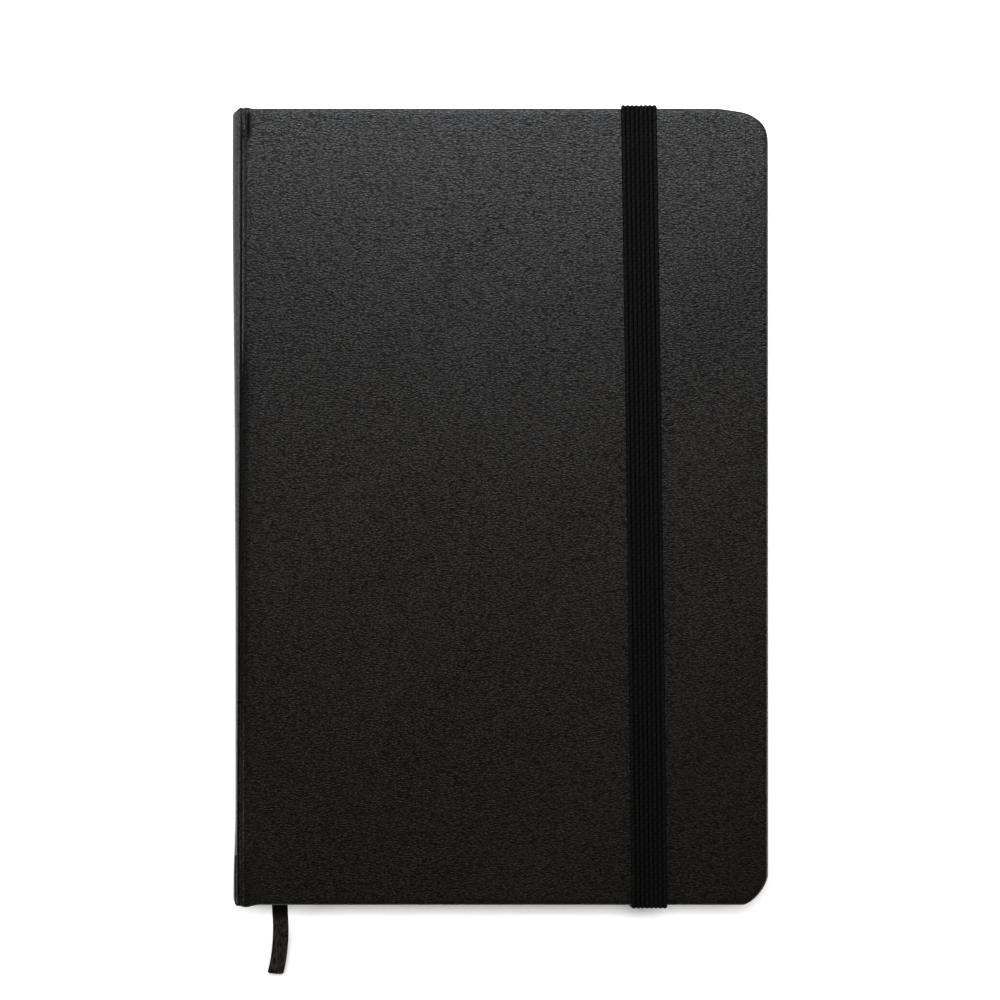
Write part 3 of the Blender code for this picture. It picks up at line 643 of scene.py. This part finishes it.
LEATHER = 0.00027              # thickness of the leatherette
RIM_ROUND = 0.00075            # rounding of the cover's outer edges
INNER_ROUND = 0.00035          # rounding where the leatherette turns in over the board
TURN_IN = 0.0130               # width of the leatherette that is turned in
TURN_IN_DEPTH = cover_high[2]  # from the cover's outside down to the turn-in
FLAP_DEPTH = 0.00095           # how far the turn-in lies under the spine's outer skin
LEAST_REACH = 0.0008           # least size of a corner once the sheet is turned in
HEAD_CORNER = (0.0092, 0.0090, 2.15)   # reach along the head edge, reach along the fore-edge, power
TAIL_CORNER = (0.0066, 0.0078, 1.5)
CORNER_STEPS = 7
ARC_COLUMNS = 34               # columns over the spine's half and the joint
COLUMN_GAP = 0.00018           # least distance between two columns
JOINT_END = X_BOARD + 0.0034   # where the joint has levelled out into the cover
JOINT_DIP = 0.00062            # depth of the joint's lowest line
HEAD_SINK = 0.00042            # how much deeper the joint's slope is at the head
JOINT_BEND = (X_BOARD - 0.0001, X_SPINE + 0.0011)   # X where the joint bends, from and to
LUMP_X = -0.0674               # the lump that the turn-in makes at both ends of the joint
NOTCH_X = -0.0668              # the dark notch beside it at the head
CHANNEL_X = middle_of(band_low, band_high, 0)   # the elastic band's channel in the back cover
CHANNEL_DEPTH = 0.00094
RELIEF_DEPTH = 0.0005          # the face's unevenness and the channel reach this far down the rim


def spine_outline(y):
    """X of the spine's outermost line: it bellies out at both ends, most at the head."""
    head = 0.00054 * smooth(y, 0.005, 0.085)
    tail = 0.00052 * smooth(-y, 0.080, 0.101)
    return X_SPINE - 0.00014 - 0.00018 * smooth(y, -0.030, 0.010) - head - tail


def groove_place(y):
    """X of the joint's lowest line, which leans towards the spine at the tail."""
    return X_SPINE + 0.00165 - 0.00085 * smooth(-y, -0.100, 0.100)


def catmull(points, share):
    """A point on a smooth curve through the given points."""
    before = [2 * a - b for a, b in zip(points[0], points[1])]
    after = [2 * a - b for a, b in zip(points[-1], points[-2])]
    spans = len(points) - 1
    at = min(int(share * spans), spans - 1)
    local = share * spans - at
    result = []
    for a, b, c, d in zip(*[before, *points, after][at:at + 4]):
        result.append(0.5 * (2 * b + (c - a) * local + (2 * a - 5 * b + 4 * c - d) * local ** 2
                             + (3 * b - a - 3 * c + d) * local ** 3))
    return result


def joint_section(y):
    """(x, z) points of the leatherette's outside, from the middle of the spine to the cover."""
    edge = spine_outline(y)
    groove = groove_place(y)
    belly = groove - edge
    sunk = HEAD_SINK * smooth(y, 0.0955, 0.1010)
    dip = JOINT_DIP - 0.00010 * smooth(abs(y), 0.098, 0.104)
    slope = 1.0 - 0.60 * smooth(y, 0.030, 0.050)
    return [
        (edge + 0.00002, Z_MIDDLE),
        (edge + 0.00002, Z_MIDDLE + 0.0027),
        (edge + 0.00004, Z_TOP - 0.0030),
        (edge + 0.34 * belly, Z_TOP - 0.0014),
        (groove - 0.00030, Z_TOP - 0.00034),
        (groove, Z_TOP - dip),
        (groove + 0.00050, Z_TOP - 0.00030 - 0.00016 * slope - 0.5 * sunk),
        (groove + 0.00120, Z_TOP - 0.00030 * slope - sunk),
        (groove + 0.00210, Z_TOP - 0.00012 * slope - 0.3 * sunk),
        (JOINT_END, Z_TOP),
    ]


def section_point(share, y):
    """(x, z) and the outward normal of the joint's section at a share of its length."""
    points = joint_section(y)
    here = catmull(points, share)
    before = catmull(points, max(share - 0.004, 0.0))
    after = catmull(points, min(share + 0.004, 1.0))
    run = (after[0] - before[0], after[1] - before[1])
    size = math.hypot(*run)
    return here, (-run[1] / size, run[0] / size)


def column_shares():
    """Places of the columns on the way from the joint to the corners, closer beside the channel."""
    last = X_FORE - HEAD_CORNER[0]
    columns = spread(JOINT_END, last, 62)
    for away in (0.0044, 0.0047, 0.0050, 0.0053, 0.0056):
        columns += [CHANNEL_X - away, CHANNEL_X + away]
    kept = []
    for x in sorted(round(x, 6) for x in columns):
        if JOINT_END < x <= last and (not kept or x - kept[-1] > COLUMN_GAP):
            kept.append(x)
    return [(x - JOINT_END) / (kept[-1] - JOINT_END) for x in kept]


COLUMN_SHARES = column_shares()
FACE_ROWS = spread(-Y_EDGE + TAIL_CORNER[1], Y_EDGE - HEAD_CORNER[1], 96)


def cover_line(end_x):
    """X of the columns between the joint and the start of a corner."""
    return [JOINT_END + share * (end_x - JOINT_END) for share in COLUMN_SHARES]


def corner_point(power, turn):
    """Unit corner: turn 0 is on the head or tail edge, 1 is on the fore-edge."""
    angle = turn * math.pi / 2
    return math.sin(angle) ** (2.0 / power), math.cos(angle) ** (2.0 / power)


def corner_rows(rows, steps):
    """Rows of a sheet that runs on into its corners, from tail to head.

    Gives the Y of the nearest straight row, the steps into a corner, and the end: -1 is the tail.
    """
    for row in range(-steps, len(rows) + steps):
        into_y = max(-row, row - (len(rows) - 1), 0)
        yield rows[min(max(row, 0), len(rows) - 1)], into_y, -1 if row < 0 else 1


def corner_grid(steps, into_y, power):
    """Shares of a corner's two spans, one pair for each step outwards, in a row that is into_y in."""
    for step in range(1, steps + 1):
        if into_y:
            turn = 0.5 * step / into_y if step <= into_y else 1 - 0.5 * into_y / step
            right, up = corner_point(power, turn)
            far = max(step, into_y) / steps
            yield far * right, far * up
        else:
            yield step / steps, 0.0


class CoverSheet:
    """The leatherette over one board, the joint and half of the spine, as one folded sheet.

    side is +1 for the front and -1 for the back, which is the same sheet turned over.
    """

    def __init__(self, side):
        self.side = side
        self.verts = []
        self.rub = []
        self.faces = []

    def surface(self, x, y, depth):
        """A point under the cover's face, away from the joint. Boards are never quite flat."""
        z = Z_TOP - depth
        if depth <= RELIEF_DEPTH:
            z += 0.00005 * math.sin(x * 71.0 + 1.3) * math.cos(y * 47.0 - 0.4)
            z += 0.00003 * math.sin(x * 160.0 - y * 115.0)
            if self.side < 0:
                z -= channel_depth(x, y)
        return Vector((x, y, z))

    def add(self, place, rub):
        """Keeps a vertex of the front's sheet, turned over for the back. Returns its number."""
        z = place.z if self.side > 0 else Z_TOP - place.z
        self.verts.append(Vector((place.x, place.y + end_shift(place.x, place.y), z)))
        self.rub.append(rub)
        return len(self.verts) - 1


def end_shift(x, y):
    """How far the sheet's ends stray from straight lines, as a move along Y.

    The spine's end is drawn in, the turn-in makes a small lump at the joint, and the head edge
    droops a little before its corner.
    """
    if y > 0:
        drawn = 0.00075 * smooth(x, -0.0690, -0.0709) - 0.00042 * hump_at(x, LUMP_X, 0.0011)
        drawn += 0.00070 * smooth(x, 0.0570, 0.0630)
        return -drawn * smooth(y, Y_EDGE - 0.0060, Y_EDGE - RIM_ROUND)
    drawn = 0.00055 * smooth(x, -0.0694, -0.0708) - 0.00068 * hump_at(x, LUMP_X, 0.0019)
    return drawn * smooth(-y, Y_EDGE - 0.0045, Y_EDGE - RIM_ROUND)


def channel_depth(x, y):
    """Depth of the shallow channel that lets the band into the back cover's two slits."""
    across = smooth(abs(x - CHANNEL_X), 0.00555, 0.00470)
    along = smooth(abs(y), 0.0925, 0.0937)
    return CHANNEL_DEPTH * across * along


def edge_end(sheet, end, corner, inset, depth):
    """The sheet's border at the head or the tail, from the spine's middle round the corner."""
    reach_x = max(corner[0] - inset, LEAST_REACH)
    reach_y = max(corner[1] - inset, LEAST_REACH)
    base_x = X_FORE - inset - reach_x
    base_y = end * (Y_EDGE - inset - reach_y)
    y = end * (Y_EDGE - inset)
    points = []
    for column in range(ARC_COLUMNS):
        (x, z), normal = section_point(column / ARC_COLUMNS, y)
        at_board = smooth(x, X_BOARD - 0.0006, X_BOARD + 0.0010)
        down = min(depth, FLAP_DEPTH + (TURN_IN_DEPTH - FLAP_DEPTH) * at_board)
        points.append(Vector((x - normal[0] * down, y, z - normal[1] * down)))
    points += [sheet.surface(x, y, depth) for x in cover_line(base_x)]
    for step in range(1, 2 * CORNER_STEPS + 1):
        right, up = corner_point(corner[2], step / (2 * CORNER_STEPS))
        down = depth + pleat_depth(step, inset, depth)
        points.append(sheet.surface(base_x + reach_x * right, base_y + end * reach_y * up, down))
    return points


def edge_ring(sheet, inset, depth):
    """The sheet's border at one inset and depth: along the head, down the fore-edge, along the tail."""
    head = edge_end(sheet, 1, HEAD_CORNER, inset, depth)
    tail = edge_end(sheet, -1, TAIL_CORNER, inset, depth)
    fore_rows = spread(head[-1].y, tail[-1].y, len(FACE_ROWS) - 1)[1:-1]
    return head + [sheet.surface(X_FORE - inset, y, depth) for y in fore_rows] + tail[::-1]


def pleat_depth(step, inset, depth):
    """Little gathers where the turned-in leatherette goes round a corner."""
    if depth < 0.001:
        return 0.0
    return 0.00010 * math.sin(step * 2.2) * smooth(inset, 0.0008, 0.0030)


def build_face(sheet, inset):
    """The grid of the cover's face and joint, and its border from head to tail by the fore-edge."""
    columns = ARC_COLUMNS + len(COLUMN_SHARES) + CORNER_STEPS
    rows = len(FACE_ROWS) + 2 * CORNER_STEPS
    head_x = X_FORE - HEAD_CORNER[0]
    tail_x = X_FORE - TAIL_CORNER[0]
    for row, (straight_y, into_y, end) in enumerate(corner_rows(FACE_ROWS, CORNER_STEPS)):
        start_x = tail_x + (head_x - tail_x) * row / (rows - 1)
        if straight_y == FACE_ROWS[-1]:
            start_x = head_x
        if straight_y == FACE_ROWS[0]:
            start_x = tail_x
        span_x = X_FORE - inset - start_x
        span_y = end * (Y_EDGE - inset - abs(straight_y))
        y = straight_y + span_y * into_y / CORNER_STEPS
        for column in range(ARC_COLUMNS):
            (x, z), _ = section_point(column / ARC_COLUMNS, y)
            sheet.add(Vector((x, y, z)), rub_at(x, y))
        places = [(x, y) for x in cover_line(start_x)]
        power = HEAD_CORNER[2] if end > 0 else TAIL_CORNER[2]
        for right, up in corner_grid(CORNER_STEPS, into_y, power):
            places.append((start_x + span_x * right, straight_y + span_y * up))
        for place in places:
            sheet.add(sheet.surface(*place, 0.0), rub_at(*place))
    sheet.faces += grid_faces(columns, rows)
    border = [(rows - 1) * columns + column for column in range(columns)]
    border += [row * columns + columns - 1 for row in range(rows - 2, -1, -1)]
    return border + list(range(columns - 2, -1, -1))


def rub_at(x, y):
    """How much wear the leatherette has, and below zero how much painted shade it gets.

    The edges and corners have wear. The joint's line, the spine's face, the slope beside the joint
    in the middle, the notch at the head and the joint's tail end get painted shade: their reflection is cut.
    """
    to_fore = X_FORE - x
    to_end = Y_EDGE - abs(y)
    edge = max(smooth(to_fore, 0.0022, 0.0), smooth(to_end, 0.0022, 0.0))
    corner = smooth(math.hypot(max(to_fore, 0.0), max(to_end, 0.0)), 0.011, 0.004)
    groove = groove_place(y)
    crease = 0.75 * hump_at(x, groove, 0.00036)
    back = 0.30 * smooth(x, groove - 0.0001, groove - 0.0005)
    slope = 0.62 * smooth(x, groove + 0.0032, groove + 0.0006) * smooth(x, groove, groove + 0.0003)
    slope *= smooth(y, 0.050, 0.030) * smooth(-y, 0.068, 0.045)
    notch = hump_at(x, NOTCH_X, 0.0007) * smooth(y, 0.0950, 0.0990) * smooth(y, 0.1046, 0.1040)
    tail = 0.3 * hump_at(x, -0.0678, 0.0014) * smooth(-y, 0.0900, 0.0960)
    return min(0.7 * edge + 0.5 * corner, 1.0) - max(crease, back, slope, notch, tail)


def build_sheet(side):
    """All vertices and faces of one leatherette sheet, outside skin only."""
    sheet = CoverSheet(side)
    low = TURN_IN_DEPTH - INNER_ROUND
    profile = []
    for angle in spread(0.0, math.pi / 2, 5)[1:]:
        profile.append((RIM_ROUND * (1 - math.sin(angle)), RIM_ROUND * (1 - math.cos(angle))))
    profile += [(0.0, depth) for depth in spread(RIM_ROUND, low, 2)[1:]]
    for angle in spread(0.0, math.pi / 2, 3)[1:]:
        profile.append((INNER_ROUND * (1 - math.cos(angle)), low + INNER_ROUND * math.sin(angle)))
    profile += [(inset, TURN_IN_DEPTH) for inset in (0.0012, 0.0030, 0.0070, TURN_IN)]
    previous = build_face(sheet, RIM_ROUND)
    for inset, depth in profile:
        wear = 0.8 if depth < 0.0016 else 0.2
        current = [sheet.add(place, wear) for place in edge_ring(sheet, inset, depth)]
        for index in range(len(current) - 1):
            sheet.faces.append((previous[index], previous[index + 1],
                                current[index + 1], current[index]))
        previous = current
    return sheet


def make_case_leather(name, side, cover, node_names, material):
    """One sheet; its border along the spine's middle is kept sharp, so that no seam shows there."""
    sheet = build_sheet(side)
    faces = sheet.faces
    if side < 0:
        faces = [tuple(reversed(face)) for face in faces]
    obj = make_piece(name, sheet.verts, faces, material)
    for edge in obj.data.edges:
        ends = [obj.data.vertices[index].co.z for index in edge.vertices]
        if max(abs(z - Z_MIDDLE) for z in ends) < 1e-6:
            edge.use_edge_sharp = True
    store(obj, rest=sheet.verts, rub=sheet.rub)
    add_shell(obj, LEATHER)
    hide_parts(*node_names)
    z = Z_TOP if side > 0 else 0.0
    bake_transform(obj, cover, "spine", (JOINT_BEND[0], 0.0, z), (JOINT_BEND[1], 0.0, z))


CARD = 0.00036                 # thickness of the spine's card
CARD_SHARE = 0.36              # how much of the joint's section the card covers, from the middle


def make_spine_card(material):
    """The spine's stiff card, bent to the leatherette's shallow curve."""
    inset = LEATHER + AIR
    rows = spread(-Y_EDGE + 0.0006, Y_EDGE - 0.0006, 40)
    shares = spread(0.0, CARD_SHARE, 12)
    verts = []
    for y in rows:
        half = []
        for share in shares:
            (x, z), normal = section_point(share, y)
            half.append((x - normal[0] * inset, z - normal[1] * inset))
        line = [(x, Z_TOP - z) for x, z in reversed(half)] + half[1:]
        verts += [Vector((x, y, z)) for x, z in line]
    card = make_piece("spine_card", verts, grid_faces(2 * len(shares) - 1, len(rows)), material)
    add_shell(card, CARD)
    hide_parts("spine_board")
    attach(card, "spine")


# ---- Pages ----

SIGNATURES = 12
LEAF = 0.00019                 # thickness of the paper
PAGE_CORNER = 0.0080
PAGE_CORNER_STEPS = 5
FOLD_STEPS = 4
GUTTER = 0.0115                # length of a leaf beside the fold that gets closer columns
GUTTER_STEPS = 14
PAGE_WAVE = 0.00011
MOST_TRIM = 0.00012            # most that a sheet is cut short at one edge
BEND_START = -0.0665           # X where a leaf starts to turn down to the fold, and how much further
BEND_STEP = 0.0009             # from the fold this is for each signature towards the middle
BEND_END = -0.06795


def gutter_span(number):
    """X where a signature's leaves start to turn down towards the fold, and where they end."""
    from_cover = min(number, SIGNATURES + 1 - number)
    return BEND_START + BEND_STEP * from_cover, BEND_END


def page_wave(x, y, z):
    """A faint common waviness of the leaves, nothing at the covers and most in the middle."""
    share = math.sin(math.pi * (z - BLOCK_LOW) / (BLOCK_HIGH - BLOCK_LOW))
    away = smooth(x, -0.050, 0.060)
    return PAGE_WAVE * share * away * math.sin(y * 62.0 + 0.8) * math.cos(x * 38.0)


def make_sheet_of_paper(number, place, trim, material):
    """One folded sheet: two leaves joined by a round fold, with rounded corners at the fore-edge."""
    body = f"signature_{number:02d}"
    node = f"{body}_{place}_sheet"
    low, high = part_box(node)
    outer = (high[2] - low[2]) / 2
    centre_x = low[0] + outer
    centre_z = middle_of(low, high, 2)
    far_x = high[0] - trim[0]
    top_y = high[1] - trim[1]
    low_y = low[1] + trim[2]
    low_z = centre_z - outer
    high_z = centre_z + outer
    corner_x = far_x - PAGE_CORNER
    gutter = [centre_x + GUTTER * (step / GUTTER_STEPS) ** 1.2 for step in range(1, GUTTER_STEPS + 1)]
    leaf = gutter + spread(gutter[-1], corner_x, 16)[1:]
    fold = []
    for angle in spread(-math.pi / 2, math.pi / 2, 2 * FOLD_STEPS):
        fold.append((centre_x - outer * math.cos(angle), centre_z + outer * math.sin(angle)))
    columns = [(x, low_z) for x in reversed(leaf)] + fold + [(x, high_z) for x in leaf]
    rows = spread(low_y + PAGE_CORNER, top_y - PAGE_CORNER, 18)
    verts = []
    for base_y, into_y, end in corner_rows(rows, PAGE_CORNER_STEPS):
        y = base_y + end * PAGE_CORNER * into_y / PAGE_CORNER_STEPS
        corner = []
        for right, up in corner_grid(PAGE_CORNER_STEPS, into_y, 2.0):
            corner.append((corner_x + PAGE_CORNER * right, base_y + end * PAGE_CORNER * up))
        verts += [Vector((*point, low_z)) for point in reversed(corner)]
        verts += [Vector((x, y, z)) for x, z in columns]
        verts += [Vector((*point, high_z)) for point in corner]
    edge = []
    for vert in verts:
        vert.z += page_wave(vert.x, vert.y, vert.z)
        to_rim = min(far_x - vert.x, top_y - vert.y, vert.y - low_y)
        edge.append(1.0 if to_rim < 0.0004 else 0.0)
    faces = grid_faces(len(columns) + 2 * PAGE_CORNER_STEPS, len(rows) + 2 * PAGE_CORNER_STEPS)
    piece = make_piece(f"{body}_{place}_leaves", verts, faces, material)
    store(piece, rest=verts, edge=edge)
    add_shell(piece, LEAF, 1.0)
    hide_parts(node)
    start_x, end_x = gutter_span(number)
    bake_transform(piece, body, "spine", (start_x, 0.0, centre_z), (end_x, 0.0, centre_z))


def make_pages():
    """The signatures, of two sheets each, cut a hair short of their place, in three cream shades."""
    rng = random.Random(7)
    shades = ((0.86, 0.83, 0.755), (0.84, 0.81, 0.73), (0.88, 0.85, 0.775))
    papers = [drawing_paper(f"drawing_paper_{index + 1}", shade, 12.0 * index)
              for index, shade in enumerate(shades)]
    for number in range(1, SIGNATURES + 1):
        for place in ("outer", "inner"):
            trim = [MOST_TRIM * rng.random() for _ in range(3)]
            make_sheet_of_paper(number, place, trim, papers[rng.randrange(3)])


# ---- Headbands ----

WRAP_TURNS = 22
TURN_RINGS = 6
ROLL_AROUND = 14
ROLL_BOW = 0.00035


def make_headband(node, end, material):
    """A cord wrapped in thread: a short bowed roll with a ridge for each turn of the wrap."""
    low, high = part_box(node)
    radius = (high[0] - low[0]) / 2
    centre_x = middle_of(low, high, 0)
    rings = WRAP_TURNS * TURN_RINGS
    length = high[2] - low[2]
    inner_y = low[1] + radius if end > 0 else high[1] - radius
    verts = []
    lay = []
    for share in spread(0.0, 1.0, rings):
        middle_y = inner_y + end * ROLL_BOW * math.sin(math.pi * share)
        for angle in spread(0.0, 2 * math.pi, ROLL_AROUND)[:-1]:
            twist = 2 * math.pi * WRAP_TURNS * share - 0.8 * angle / math.pi
            swell = radius * (0.86 + 0.14 * abs(math.cos(twist / 2)))
            verts.append((centre_x + swell * math.cos(angle), middle_y + swell * math.sin(angle),
                          low[2] + length * share))
            lay.append((share * length, radius * angle, 0.0))
    roll = make_piece(node + "_roll", verts, tube_faces(ROLL_AROUND, rings + 1), material)
    store(roll, lay=lay)
    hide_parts(node)
    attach(roll, "spine")


# ---- Elastic band ----

RIBS = 8
RIB_STEPS = 8
BAND_WIDTH = 0.0094
BAND_THICKNESS = 0.0008
BAND_BEND = 0.0002             # inner radius where the band turns round the covers' edges
BAND_PROUD = 0.00028           # how far the band stands off the CAD's band at head and tail
BOARD_INNER = 0.0023           # depth of the back board's inner face
BAND_SLIT_X = 0.0378           # middle of the band in the back cover's slits
BAND_HEAD_X = 0.0364           # and where it crosses the head edge
BAND_TAIL_X = 0.0392           # and the tail edge
BAND_BOW = 0.00014
KNIT_PITCH = 0.0011
BAND_END = Y_EDGE - 0.0285     # the glued end inside the back cover
SLIT_INNER = Y_EDGE - 0.0110   # the slope through the slit
SLIT_OUTER = Y_EDGE - 0.0070


def quarter_turn(centre_y, centre_z, radius, start):
    turns = [math.radians(angle) for angle in spread(start, start + 90.0, 8)]
    return [(centre_y + radius * math.cos(turn), centre_z + radius * math.sin(turn)) for turn in turns]


def band_route():
    """(y, z) of the band's middle at the head, from its glued end to the front cover."""
    half = BAND_THICKNESS / 2
    bend = half + BAND_BEND
    outer_y = band_high[1] - half + BAND_PROUD
    low_z = band_low[2] + half
    high_z = band_high[2] - half
    inner_z = BOARD_INNER - AIR - half
    route = [(y, inner_z) for y in spread(BAND_END, SLIT_INNER - 0.0010, 5)]
    for y in spread(SLIT_INNER - 0.0002, SLIT_OUTER + 0.0002, 8):
        route.append((y, inner_z + (low_z - inner_z) * smooth(y, SLIT_INNER, SLIT_OUTER)))
    route += [(y, low_z) for y in spread(SLIT_OUTER + 0.0008, outer_y - bend - 0.0004, 5)]
    route += quarter_turn(outer_y - bend, low_z + bend, bend, 270.0)
    route += [(outer_y, z) for z in spread(low_z + bend, high_z - bend, 10)[1:-1]]
    return route + quarter_turn(outer_y - bend, high_z - bend, bend, 0.0)


def band_centre(z, end):
    """X of the band's middle at a height on its way round the head or the tail edge."""
    top_x = BAND_HEAD_X if end > 0 else BAND_TAIL_X
    share = min(max(z / Z_TOP, 0.0), 1.0)
    return BAND_SLIT_X + (top_x - BAND_SLIT_X) * share


def band_stations():
    """The band's middle line: up round the head edge, across the front cover, down round the tail."""
    head = band_route()
    stations = [(band_centre(z, 1), y, z) for y, z in head]
    last_y, top_z = head[-1]
    for y in spread(last_y, -last_y, 84)[1:-1]:
        share = (last_y - y) / (2 * last_y)
        lean = BAND_HEAD_X + (BAND_TAIL_X - BAND_HEAD_X) * share
        stations.append((lean + BAND_BOW * math.sin(math.pi * share), y, top_z))
    return stations + [(band_centre(z, -1), -y, z) for y, z in reversed(head)]


def make_band(material):
    """A flat band with round ribs on both faces. Its rib attribute is 1 on a rib and 0 between two."""
    stations = band_stations()
    top = spread(-1.0, 1.0, RIBS * RIB_STEPS)
    loop = [(share, 1) for share in top] + [(share, -1) for share in top[-2:0:-1]]
    verts = []
    lay = []
    rib = []
    for here, ahead, side, travelled in path_steps(stations):
        up = ahead.cross(side)
        for share, face in loop:
            phase = (share + 1) / 2 * RIBS
            hump = abs(math.sin(math.pi * phase))
            body = BAND_THICKNESS / 2 * (0.36 + 0.64 * hump ** 0.7)
            body *= 1 - 0.55 * smooth(abs(share), 0.95, 1.0)
            knit = 1 + 0.010 * math.sin(travelled * 2 * math.pi / KNIT_PITCH + int(phase) * 2.1)
            verts.append(here + side * (share * BAND_WIDTH / 2) - up * (face * body * knit))
            lay.append((travelled, share * BAND_WIDTH / 2, face * 0.001))
            rib.append(hump ** 0.8)
    faces = tube_faces(len(loop), len(stations))
    band = make_piece("elastic_ribbed_band", verts, faces, material)
    store(band, lay=lay, rib=rib)
    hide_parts("elastic_band")
    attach(band, "back_cover")
    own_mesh(band)


# ---- Carried-over CAD nodes ----

def dress_cad_nodes(board):
    """Gives each CAD node that stays in the scene its material."""
    nodes_in = {
        board: ("back_board", "front_board"),
        endpaper(): ("back_endpaper", "front_endpaper"),
        mull_cloth(): ("mull_spine", "mull_back_flap", "mull_front_flap"),
        kraft_paper(): ("spine_lining",),
        adhesive(): ("spine_glue",),
        sewing_thread(): [f"stitch_line_{number}" for number in range(1, 6)],
    }
    for material, nodes in nodes_in.items():
        for node in nodes:
            for slot in bpy.data.objects[node].material_slots:
                slot.material = material


# ---- The scene ----

def main():
    make_camera()
    make_floor()
    make_lights()
    make_walls()
    make_bookmark()
    leather = leatherette()
    make_case_leather("leatherette_front", 1, "front_cover", ["front_cover_wrap", "spine_wrap"], leather)
    make_case_leather("leatherette_back", -1, "back_cover", ["back_cover_wrap"], leather)
    board = greyboard()
    dress_cad_nodes(board)
    make_spine_card(board)
    make_pages()
    cloth = headband_thread()
    make_headband("headband", 1, cloth)
    make_headband("tailband", -1, cloth)
    make_band(black_elastic())


main()
